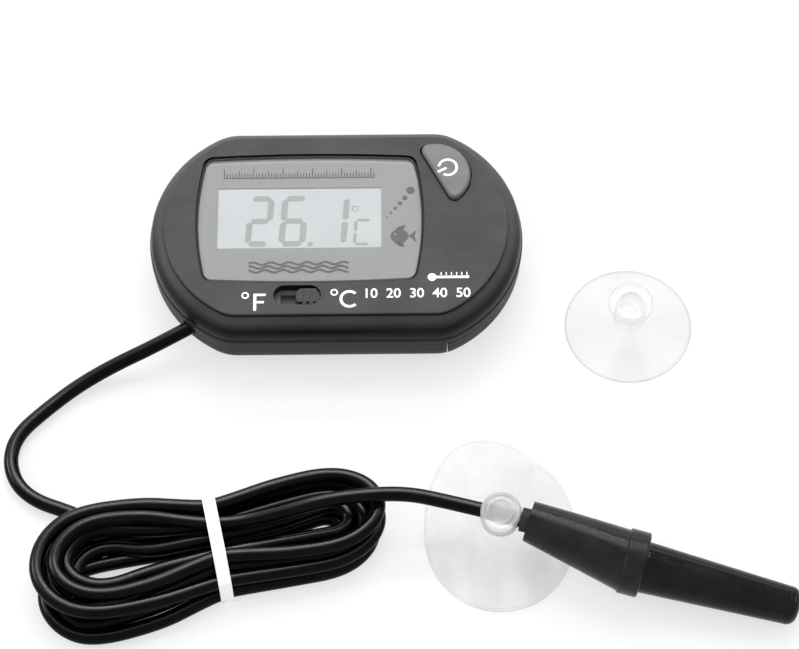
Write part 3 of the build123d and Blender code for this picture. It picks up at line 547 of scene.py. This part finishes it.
def slab_mesh(outlines, bottom, top, turn=0.0, centre=(0.0, 0.0)):
    """Thin flat shapes from closed outlines in millimetres, turned about the origin and moved to a centre."""
    vertices, faces = [], []
    c, s = math.cos(turn), math.sin(turn)
    for outline in outlines:
        n, base = len(outline), len(vertices)
        for z in (bottom, top):
            vertices += [(centre[0] + x * c - y * s, centre[1] + x * s + y * c, z) for x, y in outline]
        faces.append(tuple(base + n + i for i in range(n)))
        faces.append(tuple(base + i for i in reversed(range(n))))
        faces += [(base + i, base + (i + 1) % n, base + n + (i + 1) % n, base + n + i) for i in range(n)]
    return mesh_from(vertices, faces, smooth=False)


def stroke(points, width):
    """A pen stroke of that width through the points, as quads that meet at mitred corners."""
    places = [Vector(point) for point in points]
    ways = [(after - before).normalized() for before, after in zip(places, places[1:])]
    sides = []
    for i, place in enumerate(places):
        way_in, way_out = ways[max(i - 1, 0)], ways[min(i, len(ways) - 1)]
        across = Vector((-way_in.y - way_out.y, way_in.x + way_out.x)).normalized()
        half = width / 2 / max(across.dot(Vector((-way_in.y, way_in.x))), 0.3)
        sides.append((place - across * half, place + across * half))
    return [[a[0], b[0], b[1], a[1]] for a, b in zip(sides, sides[1:])]


def arc_points(centre, radius, start, end, steps):
    """Points along an arc, angles in degrees."""
    turns = [math.radians(start + (end - start) * i / steps) for i in range(steps + 1)]
    return [(centre[0] + radius * math.cos(t), centre[1] + radius * math.sin(t)) for t in turns]


def ring_stroke(centre, radius, width, start=0, end=360, steps=28):
    """Arc drawn as one band of quads that share edges."""
    outer = arc_points(centre, radius + width / 2, start, end, steps)
    inner = arc_points(centre, radius - width / 2, start, end, steps)
    return [[inner[i], outer[i], outer[i + 1], inner[i + 1]] for i in range(steps)]


def disc(centre, radius, steps=20):
    return arc_points(centre, radius, 0, 360, steps)[:-1]


def bar(left, bottom, right, top):
    return [(left, bottom), (right, bottom), (right, top), (left, top)]


# ---------------------------------------------------------------- cord and hank

CORD_RADIUS = 1.2
EXIT_POINT = (-24.2, -15.2, 5.6)
LEAD_FIRST = (-29.9, -18.3, 5.0)
exit_way = (Vector(LEAD_FIRST) - Vector(EXIT_POINT)).normalized()

LEAD_BEND_CENTRE, LEAD_BEND_RADIUS = (-45.0, -37.0), 8.65

# The cord's control points: from inside the case down to the table, round a wide bend and into the hank.
lead_points = [tuple(Vector(EXIT_POINT) - exit_way * 6.5), LEAD_FIRST]
lead_points += [(-36.5, -20.5, 2.8), (-42.8, -23.7, 1.35), (-48.1, -28.2, CORD_RADIUS)]
bend_places = arc_points(LEAD_BEND_CENTRE, LEAD_BEND_RADIUS, 149, 242, 3)
lead_points += [(*place, CORD_RADIUS) for place in bend_places]
lead_points += [(-43.4, -46.7, CORD_RADIUS), (-39.9, -48.4, CORD_RADIUS), (-36.7, -50.3, CORD_RADIUS)]
lead_points += [(-29.0, -50.4, 1.3)]

# From the hank, through the probe cup's nub (NUB_BEFORE and NUB_AFTER) and into the boot.
NUB_BEFORE, NUB_AFTER = (17.6, -48.45, 8.0), (30.8, -51.95, 7.82)
tail_points = [
    (-14.6, -50.9, 6.3),
    (-8.6, -50.0, 7.7),
    (-1.8, -48.4, 8.8),
    (5.6, -47.5, 8.9),
    (11.8, -47.3, 8.5),
    NUB_BEFORE,
    NUB_AFTER,
    (38.4, -54.9, 6.75),
    (45.8, -57.9, 5.6),
]

# The hank's own frame: u along it, v across it towards the case, both from the tie.
HANK_CENTRE = (-19.0, -54.5)
HANK_TURN = math.radians(11.5)
# Where each strand crosses the tie, as (v, height): strands that run right, then strands that come back.
RIGHTWARD = [(6.3, 1.7), (3.8, 1.7), (1.3, 1.7), (1.8, 4.05), (4.2, 4.05), (6.5, 4.05), (6.2, 6.35), (3.2, 6.4)]
LEFTWARD = [(-6.6, 1.7), (-4.0, 1.7), (-1.5, 1.7), (-1.1, 4.05), (-3.5, 4.05), (-5.8, 4.05), (-2.5, 6.3)]
# Each end loop: reach, far side, near side, height, how long its round end is, how soon it spreads.
RIGHT_LOOPS = [
    (25.4, 7.2, -6.8, 1.3, 1.35, 1.0),
    (23.0, 5.0, -4.6, 1.3, 1.25, 0.8),
    (20.4, 2.7, -2.5, 1.5, 1.15, 0.25),
    (21.6, 3.6, -1.2, 3.8, 1.15, 0.4),
    (24.0, 5.9, -4.9, 3.9, 1.3, 0.8),
    (26.4, 8.0, -6.4, 3.9, 1.45, 0.95),
    (26.6, 8.3, -4.6, 6.2, 1.55, 1.0),
]
LEFT_LOOPS = [
    (28.5, 5.9, -10.5, 1.3, 1.15, 1.0),
    (26.2, 2.2, -8.2, 1.35, 1.15, 0.9),
    (23.4, 4.3, -5.2, 2.4, 1.15, 0.12),
    (24.2, 7.2, -3.4, 4.6, 1.6, 0.45),
    (27.1, 8.6, -7.2, 3.9, 1.2, 0.9),
    (28.9, 9.9, -8.1, 6.0, 1.2, 1.0),
    (26.0, 7.9, -5.6, 6.5, 1.45, 1.0),
]
# Loops whose half width is under this get two more points, since a round end with five would kink there.
TIGHT_LOOP = 4.8
ROUND_END_STEP = 36  # degrees between the points of a round end


def hank_point(u, v, height):
    c, s = math.cos(HANK_TURN), math.sin(HANK_TURN)
    return (HANK_CENTRE[0] + u * c - v * s, HANK_CENTRE[1] + u * s + v * c, height)


def end_loop(side, loop, lane_in, lane_out):
    """Control points round one end of the hank, side 1 for its right end and -1 for its left."""
    reach, far, near, height, long, spread = loop
    first, last = (far, near) if side > 0 else (near, far)
    middle, half = (far + near) / 2, (far - near) / 2
    centre = reach - long * half
    leaving, arriving = [], []
    for u, share, rise in ((4.5, 0.3, 0.12), (11.0, 0.82, 0.5)):
        out_v = lane_in[0] + (first - lane_in[0]) * share * spread
        back_v = lane_out[0] + (last - lane_out[0]) * share * spread
        leaving.append(hank_point(side * u, out_v, lane_in[1] + (height - lane_in[1]) * rise))
        arriving.insert(0, hank_point(side * u, back_v, lane_out[1] + (height - lane_out[1]) * rise))
    round_end = []
    widen = 1 / math.cos(math.radians(ROUND_END_STEP / 2))
    count = 3 if half < TIGHT_LOOP else 2
    for step in range(count, -count - 1, -1):
        t = math.radians(step * ROUND_END_STEP)
        u = centre + long * half * widen * math.cos(t)
        round_end.append(hank_point(side * u, middle + side * half * widen * math.sin(t), height))
    return leaving + round_end + arriving


hank_points = []
for turn in range(len(RIGHT_LOOPS)):
    hank_points.append(hank_point(0, *RIGHTWARD[turn]))
    hank_points += end_loop(1, RIGHT_LOOPS[turn], RIGHTWARD[turn], LEFTWARD[turn])
    hank_points.append(hank_point(0, *LEFTWARD[turn]))
    hank_points += end_loop(-1, LEFT_LOOPS[turn], LEFTWARD[turn], RIGHTWARD[turn + 1])
hank_points.append(hank_point(0, *RIGHTWARD[-1]))


def add_cord(name, points, radius):
    """A smooth cord whose control points are given in millimetres."""
    curve = bpy.data.curves.new(name, "CURVE")
    curve.dimensions = "3D"
    curve.resolution_u = 10
    curve.bevel_depth = radius * MM
    curve.bevel_resolution = 6
    curve.use_fill_caps = True
    spline = curve.splines.new("NURBS")
    spline.points.add(len(points) - 1)
    for point, place in zip(spline.points, points):
        point.co = (*(c * MM for c in place), 1.0)
    spline.order_u = 3
    spline.use_endpoint_u = True
    spline.use_smooth = True
    piece = bpy.data.objects.new(name, curve)
    bpy.context.scene.collection.objects.link(piece)
    curve.materials.append(look["cord"])
    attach(piece, "case")
    return piece


cord = add_cord("probe_cord", lead_points + hank_points + tail_points, CORD_RADIUS)
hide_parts("cord_lead", "cord_hank", "cord_tail")


def tie_path(radius):
    """The band's closed path round the strands at the tie: (v, height) points at radius from their centres."""
    strands = [RIGHTWARD[i] for i in (0, 5, 6, 7)] + [LEFTWARD[i] for i in (6, 5, 0)]
    path = []
    for step in range(120):
        t = 2 * math.pi * step / 120
        way = (math.cos(t), math.sin(t))
        v, z = max(strands, key=lambda s: s[0] * way[0] + s[1] * way[1])
        path.append((v + radius * way[0], z + radius * way[1]))
    return path


def tie_mesh():
    """A flat band with softened edges, pulled round the strands, and its welded end lying on the near side."""
    width, thickness = 2.1, 0.42
    rings = [(-1.0, 0.10), (-0.82, 0.0), (0.82, 0.0), (1.0, 0.10)]
    rings += [(1.0, 0.90), (0.82, 1.0), (-0.82, 1.0), (-1.0, 0.90)]
    vertices, faces = [], []
    paths = [tie_path(CORD_RADIUS + 0.02 + thickness * depth) for _, depth in rings]
    count = len(paths[0])
    for (across, _), path in zip(rings, paths):
        vertices += [hank_point(across * width / 2, v, z) for v, z in path]
    for ring in range(len(rings)):
        other = (ring + 1) % len(rings)
        for i in range(count):
            j = (i + 1) % count
            faces.append((ring * count + i, ring * count + j, other * count + j, other * count + i))
    # The welded end: a second, thinner layer over the lower near side.
    base = len(vertices)
    outer = tie_path(CORD_RADIUS + 0.02 + thickness)
    steps = list(range(62, 84))
    for k, i in enumerate(steps):
        v, z = outer[i]
        t = 2 * math.pi * i / count
        lift = 0.24 if 0 < k < len(steps) - 1 else 0.02
        for across in (-0.9, 0.9):
            for depth in (-0.05, lift):
                vertices.append(
                    hank_point(across * width / 2, v + depth * math.cos(t), max(z + depth * math.sin(t), 0.03))
                )
    for k in range(len(steps) - 1):
        a, b = base + 4 * k, base + 4 * (k + 1)
        faces += [(a + 1, b + 1, b + 3, a + 3), (a, a + 2, b + 2, b)]
        faces += [(a, b, b + 1, a + 1), (a + 2, a + 3, b + 3, b + 2)]
    last = base + 4 * (len(steps) - 1)
    faces += [(base, base + 1, base + 3, base + 2), (last, last + 2, last + 3, last + 1)]
    return mesh_from(vertices, faces)


tie = add_piece("hank_tie", tie_mesh(), look["tie"], "case", ["cord_tie"])

# ---------------------------------------------------------------- display


def under_outline(piece, z, centre, margin):
    """The outline of a flat piece's underside at height z, drawn in by margin, in order about the centre."""
    places = [piece.matrix_world @ vertex.co / MM for vertex in piece.data.vertices]
    around = {}
    for place in places:
        if abs(place.z - z) < 0.02:
            x, y = place.x - centre[0], place.y - centre[1]
            reach = math.hypot(x, y)
            keep = 1 - margin / reach
            around[round(math.atan2(y, x), 3)] = (centre[0] + x * keep, centre[1] + y * keep)
    return [around[angle] for angle in sorted(around)]


def window(length, height, corner, centre, steps=10):
    points = []
    for quarter, (sx, sy) in enumerate(((1, 1), (-1, 1), (-1, -1), (1, -1))):
        place = (centre[0] + sx * (length / 2 - corner), centre[1] + sy * (height / 2 - corner))
        points += arc_points(place, corner, 90 * quarter, 90 * quarter + 90, steps)
    return points


def framed_sheet(outer, inner, z):
    """A flat sheet between two closed outlines, both walked by angle about the inner one's middle."""
    middle = (sum(p[0] for p in inner) / len(inner), sum(p[1] for p in inner) / len(inner))

    def at_angle(outline, angle):
        """Where a ray from the middle leaves the outline."""
        way = (math.cos(angle), math.sin(angle))
        best = 0.0
        for a, b in zip(outline, outline[1:] + outline[:1]):
            ax, ay, bx, by = a[0] - middle[0], a[1] - middle[1], b[0] - middle[0], b[1] - middle[1]
            cross_way = way[0] * (by - ay) - way[1] * (bx - ax)
            if abs(cross_way) < 1e-12:
                continue
            along = (ax * (by - ay) - ay * (bx - ax)) / cross_way
            share = (ax * way[1] - ay * way[0]) / cross_way
            if along > best and -1e-9 <= share <= 1 + 1e-9:
                best = along
        return (middle[0] + way[0] * best, middle[1] + way[1] * best)

    angles = {round(math.atan2(y - middle[1], x - middle[0]), 5) for x, y in outer + inner}
    angles = sorted(angles)
    vertices, faces = [], []
    for angle in angles:
        for outline in (outer, inner):
            vertices.append((*at_angle(outline, angle), z))
    count = len(angles)
    for i in range(count):
        j = (i + 1) % count
        faces.append((2 * i, 2 * j, 2 * j + 1, 2 * i + 1))
    return mesh_from(vertices, faces, smooth=False)


lens_low, lens_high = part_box("lens_panel")
LENS_CENTRE = ((lens_low.x + lens_high.x) / 2 / MM, (lens_low.y + lens_high.y) / 2 / MM)
LENS_BACK = lens_low.z / MM
PRINT_Z = LENS_BACK + 0.05
panel_outline = under_outline(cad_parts["lens_panel"], LENS_BACK, LENS_CENTRE, 0.12)
window_outline = window(27.3, 11.5, 0.35, (-6.02, 1.7))
panel = framed_sheet(panel_outline, window_outline, PRINT_Z)
add_piece("lens_grey_print", panel, look["panel"], "case")

# Dark marks on the grey panel: a temperature scale, water ripples, rising bubbles and a plain fish.
panel_marks = []
for tick in range(52):
    x = -18.7 + 0.492 * tick
    tall = 1.75 if tick % 10 == 0 else (1.3 if tick % 5 == 0 else 0.85)
    panel_marks.append(bar(x - 0.09, 9.45, x + 0.09, 9.45 + tall))
panel_marks.append(bar(-18.8, 9.33, 6.5, 9.5))
for row in range(3):
    base = -7.0 - 0.72 * row
    ripple = [(-14.4 + 0.28 * k, base + 0.24 * math.sin(0.28 * k * 2.1 + row)) for k in range(60)]
    panel_marks += stroke(ripple, 0.4)
for step, radius in enumerate((0.72, 0.45, 0.38, 0.3, 0.22, 0.15)):
    panel_marks.append(disc((12.5 - 0.98 * step ** 0.87, 6.8 - 1.45 * step ** 0.78), radius))
fish_side = [(9.0 + 3.2 * k / 12, 1.55 * math.sin(math.pi * k / 12) ** 0.75) for k in range(1, 12)]
fish_body = [(9.0, -2.0)] + [(x, -2.0 + y) for x, y in fish_side]
fish_body += [(12.2, -2.0)] + [(x, -2.0 - y) for x, y in reversed(fish_side)]
panel_marks.append(fish_body)
panel_marks.append([(12.15, -2.0), (13.45, -0.75), (13.1, -2.0), (13.45, -3.25)])
panel_marks.append([(10.0, -0.55), (11.3, -0.62), (11.75, 0.15), (10.9, 0.0)])
panel_marks.append([(10.1, -3.45), (11.2, -3.4), (11.5, -4.0), (10.7, -3.95)])
panel_mesh = slab_mesh(panel_marks, PRINT_Z + 0.01, PRINT_Z + 0.03)
add_piece("lens_dark_marks", panel_mesh, look["marks"], "case")
eye = slab_mesh([disc((9.85, -1.6), 0.19, 14)], PRINT_Z + 0.03, PRINT_Z + 0.045)
add_piece("lens_light_mark", eye, look["panel"], "case")

SEGMENTS = {
    "a": ((0, 1), (1, 1)),
    "b": ((1, 1), (1, 0.5)),
    "c": ((1, 0.5), (1, 0)),
    "d": ((0, 0), (1, 0)),
    "e": ((0, 0.5), (0, 0)),
    "f": ((0, 1), (0, 0.5)),
    "g": ((0, 0.5), (1, 0.5)),
}


def digit(lit, left, bottom, width, height, thick, slant=0.075):
    """The lit segments of a slanted seven-segment digit, each a bar with pointed ends."""
    outlines = []
    for key in lit:
        (x0, y0), (x1, y1) = (
            (left + thick / 2 + x * (width - thick), bottom + thick / 2 + y * (height - thick))
            for x, y in SEGMENTS[key]
        )
        length = math.hypot(x1 - x0, y1 - y0)
        ux, uy = (x1 - x0) / length, (y1 - y0) / length
        nx, ny = -uy, ux
        gap, half = 0.11, thick / 2
        bar = []
        for along, across in (
            (gap, 0),
            (gap + half * 0.8, half),
            (length - gap - half * 0.8, half),
            (length - gap, 0),
            (length - gap - half * 0.8, -half),
            (gap + half * 0.8, -half),
        ):
            x = x0 + ux * along + nx * across
            y = y0 + uy * along + ny * across
            bar.append((x + slant * (y - bottom), y))
        outlines.append(bar)
    return outlines


LCD_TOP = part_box("lcd_glass")[1].z / MM
digits = digit("abged", -15.2, -3.7, 4.35, 9.7, 1.05)
digits += digit("afedcg", -9.6, -3.7, 4.5, 9.7, 1.05)
digits += digit("bc", -2.8, -3.7, 4.5, 9.7, 1.0)
digits += digit("adef", 2.8, -3.6, 2.95, 5.1, 0.55)
digits.append(disc((-4.2, -3.25), 0.45))
digits += ring_stroke((3.25, 3.45), 0.5, 0.2)
digits_mesh = slab_mesh(digits, LCD_TOP + 0.004, LCD_TOP + 0.02)
add_piece("display_digits", digits_mesh, look["segments"], "case")

# ---------------------------------------------------------------- marks on the face

face_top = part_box("front_shell")[1].z / MM
face_marks = ring_stroke((-14.8, -13.35), 0.5, 0.26)
letter_f = [(0.0, 0.0), (0.48, 0.0), (0.48, 1.36), (1.72, 1.36), (1.72, 1.78)]
letter_f += [(0.48, 1.78), (0.48, 2.72), (2.0, 2.72), (2.0, 3.15), (0.0, 3.15)]
face_marks.append([(-13.45 + x, -16.2 + y) for x, y in letter_f])
face_marks += ring_stroke((-0.2, -12.9), 0.5, 0.26)
face_marks += ring_stroke((2.3, -14.15), 1.4, 0.46, 45, 315, 30)
# A small lying thermometer over a row of numbers.
face_marks.append(disc((15.9, -10.2), 0.72, 24))
face_marks += stroke([(16.55, -10.2), (22.0, -10.2)], 0.46)
for tick in range(6):
    x = 17.4 + 0.85 * tick
    face_marks.append(bar(x - 0.09, -9.85, x + 0.09, -9.3))
face_mesh = slab_mesh(face_marks, face_top - 0.01, face_top + 0.012)
add_piece("face_white_marks", face_mesh, look["white_ink"], "case")


def add_numbers(name, text, right, baseline, size, z):
    """Printed numbers that end at right, from the built-in typeface."""
    curve = bpy.data.curves.new(name, "FONT")
    curve.body = text
    curve.size = size * MM
    curve.align_x = "RIGHT"
    curve.extrude = 0.006 * MM
    curve.offset = 0.035 * MM
    writing = bpy.data.objects.new(name + "_curve", curve)
    bpy.context.scene.collection.objects.link(writing)
    bpy.context.view_layer.update()
    mesh = bpy.data.meshes.new_from_object(writing.evaluated_get(bpy.context.evaluated_depsgraph_get()))
    bpy.data.objects.remove(writing)
    mesh.transform(Matrix.Translation((right * MM, baseline * MM, z * MM)))
    return add_piece(name, mesh, look["white_ink"], "case")


add_numbers("face_numbers", "10  20  30  40  50", 22.2, -13.95, 2.45, face_top + 0.006)

BUTTON_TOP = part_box("power_button")[1].z / MM
BUTTON_ORIGIN = (16.7, 9.25)
BUTTON_TURN = math.radians(27.6)
power_mark = ring_stroke((2.35, 0.0), 1.5, 0.42, -145, 145, 30)
power_mark += stroke([(0.45, 0.0), (2.1, 0.0)], 0.42)
power_mesh = slab_mesh(power_mark, BUTTON_TOP - 0.01, BUTTON_TOP + 0.012, BUTTON_TURN, BUTTON_ORIGIN)
add_piece("button_white_mark", power_mesh, look["white_ink"], "power_button")

# ---------------------------------------------------------------- probe suction cup


def lathe(profile, steps):
    """Vertices and faces of a closed profile of (radius, height) turned about Z; radius 0 only at its two ends."""
    vertices, faces, rings = [], [], []
    for radius, height in profile:
        if radius < 1e-6:
            rings.append([len(vertices)])
            vertices.append((0.0, 0.0, height))
        else:
            start = len(vertices)
            rings.append(list(range(start, start + steps)))
            for i in range(steps):
                t = 2 * math.pi * i / steps
                vertices.append((radius * math.cos(t), radius * math.sin(t), height))
    for a, b in zip(rings, rings[1:]):
        for i in range(steps):
            j = (i + 1) % steps
            if len(a) == 1:
                faces.append((a[0], b[j], b[i]))
            elif len(b) == 1:
                faces.append((a[i], a[j], b[0]))
            else:
                faces.append((a[i], a[j], b[j], b[i]))
    return vertices, faces


CUP_TILT = math.radians(8.0)
CUP_HOLE_HEIGHT = 6.0
# The skirt, in the round cup's own axes: radius at its foot, edge and rim, height of its foot, thickness.
SKIRT_FOOT, SKIRT_EDGE, SKIRT_RIM = 3.2, 12.3, 12.62
FOOT_TOP, SKIRT_THICK = 2.12, 0.45


def probe_cup_profile():
    """Section of the cup from its top middle, over head, neck and skirt, to the middle of its hollow underside."""
    head = [(0.0, 7.60), (0.7, 7.60), (1.50, 7.62), (1.78, 7.68), (1.86, 7.95), (1.98, 8.06), (2.12, 7.96)]
    head += [(2.22, 7.84), (2.62, 7.84), (2.72, 8.0), (2.86, 8.02), (3.1, 7.86), (3.3, 7.45)]
    head += [(3.32, 6.6), (3.3, 5.4), (3.28, 4.75), (3.05, 4.35), (2.7, 4.2)]
    neck = [(2.5, 4.05), (2.46, 3.4), (2.5, 2.75), (2.75, 2.35), (3.2, 2.12)]
    skirt, under = [], []
    for step in range(1, 21):
        share = step / 20
        top = FOOT_TOP * (1 - share) ** 0.8 + SKIRT_THICK * share
        radius = SKIRT_FOOT + (SKIRT_EDGE - SKIRT_FOOT) * share
        skirt.append((radius, top))
        under.insert(0, (radius, top - SKIRT_THICK - 0.9 * (1 - share) ** 2))
    rim = [(12.36, 0.62), (12.5, 0.66), (12.62, 0.58), (12.68, 0.40), (12.66, 0.2), (12.55, 0.06), (12.4, 0.0)]
    under += [(2.4, 0.72), (1.2, 0.70)]
    return head + neck + skirt + rim + under + [(0.0, 0.70)]


def settled(place, base):
    """Where a point of the round cup's section comes to lie: the skirt's near side spreads out on the table,
    its left and right draw in, and its far left side stands up. The place is in the cup's own axes."""
    x, y, z = place
    c, s = math.cos(CUP_TILT), math.sin(CUP_TILT)
    round_place = Vector((base.x + x, base.y + y * c - z * s, base.z + y * s + z * c))
    radius = math.hypot(x, y)
    share = (radius - SKIRT_FOOT) / (SKIRT_RIM - SKIRT_FOOT)
    if share <= 0:
        return round_place
    turn = math.atan2(y, x)
    reach = 13.1 - 0.95 * math.cos(2 * turn) - 0.45 * math.sin(turn)
    apart = (math.degrees(turn) - 128.0 + 180.0) % 360.0 - 180.0
    stand = 6.8 * max(0.0, math.cos(math.radians(apart * 90.0 / 68.0))) ** 1.3
    stand += 0.12 * (1 + math.sin(3 * turn))
    own_dome = FOOT_TOP * max(0.0, 1 - share) ** 0.8 + SKIRT_THICK * share
    foot_top = base.z + FOOT_TOP
    surface = stand + SKIRT_THICK + (foot_top - stand - SKIRT_THICK) * max(0.0, 1 - share) ** 1.45
    new_radius = SKIRT_FOOT + (reach - SKIRT_FOOT) * share
    laid_x = base.x + new_radius * math.cos(turn)
    laid_y = base.y + new_radius * math.sin(turn)
    laid = Vector((laid_x, laid_y, surface + z - own_dome))
    blend = min(1.0, share * 3.0)
    blend = blend * blend * (3 - 2 * blend)
    return round_place.lerp(laid, blend)


def probe_cup_mesh():
    vertices, faces = lathe(probe_cup_profile(), 120)
    c, s = math.cos(CUP_TILT), math.sin(CUP_TILT)
    base = NUB_CENTRE - Vector((0, -s, c)) * CUP_HOLE_HEIGHT
    placed = [settled(vertex, base) for vertex in vertices]
    return mesh_from([(v.x, v.y, max(v.z, 0.04)) for v in placed], faces)


def bored(mesh, centre, way, radius, length):
    """The mesh with a round hole through it, in millimetres."""
    body = bpy.data.objects.new("bored_body", mesh)
    bpy.context.scene.collection.objects.link(body)
    bm = bmesh.new()
    turn = Vector((0, 0, 1)).rotation_difference(way).to_matrix().to_4x4()
    bmesh.ops.create_cone(
        bm,
        cap_ends=True,
        segments=32,
        radius1=radius * MM,
        radius2=radius * MM,
        depth=length * MM,
        matrix=Matrix.Translation(centre * MM) @ turn,
    )
    drill_mesh = bpy.data.meshes.new("drill")
    bm.to_mesh(drill_mesh)
    bm.free()
    drill = bpy.data.objects.new("drill", drill_mesh)
    bpy.context.scene.collection.objects.link(drill)
    cut = body.modifiers.new("hole", "BOOLEAN")
    cut.operation = "DIFFERENCE"
    cut.solver = "EXACT"
    cut.object = drill
    bpy.context.view_layer.update()
    result = bpy.data.meshes.new_from_object(body.evaluated_get(bpy.context.evaluated_depsgraph_get()))
    bpy.data.objects.remove(body)
    bpy.data.objects.remove(drill)
    return result


hole_way = (Vector(NUB_AFTER) - Vector(NUB_BEFORE)).normalized()
cup_mesh = bored(probe_cup_mesh(), NUB_CENTRE, hole_way, 1.4, 9.0)
probe_cup = add_piece(
    "probe_cup_clear", cup_mesh, look["probe_cup"], "probe_cup", ["probe_suction_cup"]
)

# ---------------------------------------------------------------- finishes of the CAD pieces

NODE_LOOKS = {
    "front_shell": "shell",
    "back_shell": "shell",
    "battery_door": "shell",
    "lens_panel": "lens",
    "lcd_glass": "glass",
    "lcd_frame": "white",
    "lcd_reflector": "reflector",
    "zebra_strip": "strip",
    "circuit_board": "board",
    "chip_cover": "chip",
    "board_screws": "steel",
    "case_screws": "steel",
    "power_button": "button",
    "button_dome": "dome",
    "switch_body": "switch",
    "switch_knob": "knob",
    "battery_cell": "cell",
    "contact_negative": "spring",
    "contact_positive": "spring",
    "cord_grommet": "grommet",
    "sensor_leads": "copper",
    "probe_boot": "boot",
    "probe_gland": "grommet",
    "probe_collar": "collar",
    "probe_tip": "tip",
    "thermistor": "bead",
    "probe_potting": "potting",
    "display_suction_cup": "cup",
}
for node, key in NODE_LOOKS.items():
    for material_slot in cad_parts[node].material_slots:
        material_slot.material = look[key]

# ---------------------------------------------------------------- floor and light


def add_stage():
    mesh = bpy.data.meshes.new("floor")
    half = 1.5
    mesh.from_pydata([(-half, -half, 0), (half, -half, 0), (half, half, 0), (-half, half, 0)], [], [(0, 1, 2, 3)])
    floor = bpy.data.objects.new("floor", mesh)
    floor.location.z = -0.03 * MM
    mesh.materials.append(pale_floor("pale_table"))
    bpy.context.scene.collection.objects.link(floor)
    world = bpy.data.worlds.new("studio")
    world.use_nodes = True
    background = world.node_tree.nodes["Background"]
    background.inputs["Color"].default_value = rgba(1.0)
    background.inputs["Strength"].default_value = 0.93
    bpy.context.scene.world = world


def add_light(name, place, target, width, height, power):
    data = bpy.data.lights.new(name, "AREA")
    data.shape = "RECTANGLE"
    data.size, data.size_y = width, height
    data.energy = power
    lamp = bpy.data.objects.new(name, data)
    bpy.context.scene.collection.objects.link(lamp)
    lamp.location = place
    lamp.rotation_euler = (Vector(target) - Vector(place)).to_track_quat("-Z", "Y").to_euler()


add_stage()
add_light("overhead_softbox", (0.02, 0.42, 0.78), (0.0, -0.02, 0.0), 0.55, 0.26, 2.3)
add_light("back_softbox", (0.0, 0.95, 0.30), (0.0, 0.0, 0.0), 1.2, 0.22, 1.3)
add_light("strip_light", (0.02, 0.62, 0.62), (0.0, -0.02, 0.0), 0.60, 0.070, 2.4)
add_light("left_softbox", (-0.75, 0.10, 0.42), (-0.02, -0.01, 0.0), 0.40, 0.22, 2.0)
add_light("right_softbox", (0.80, 0.15, 0.40), (0.02, -0.01, 0.0), 0.40, 0.22, 0.8)
bpy.context.scene.view_settings.view_transform = "Standard"
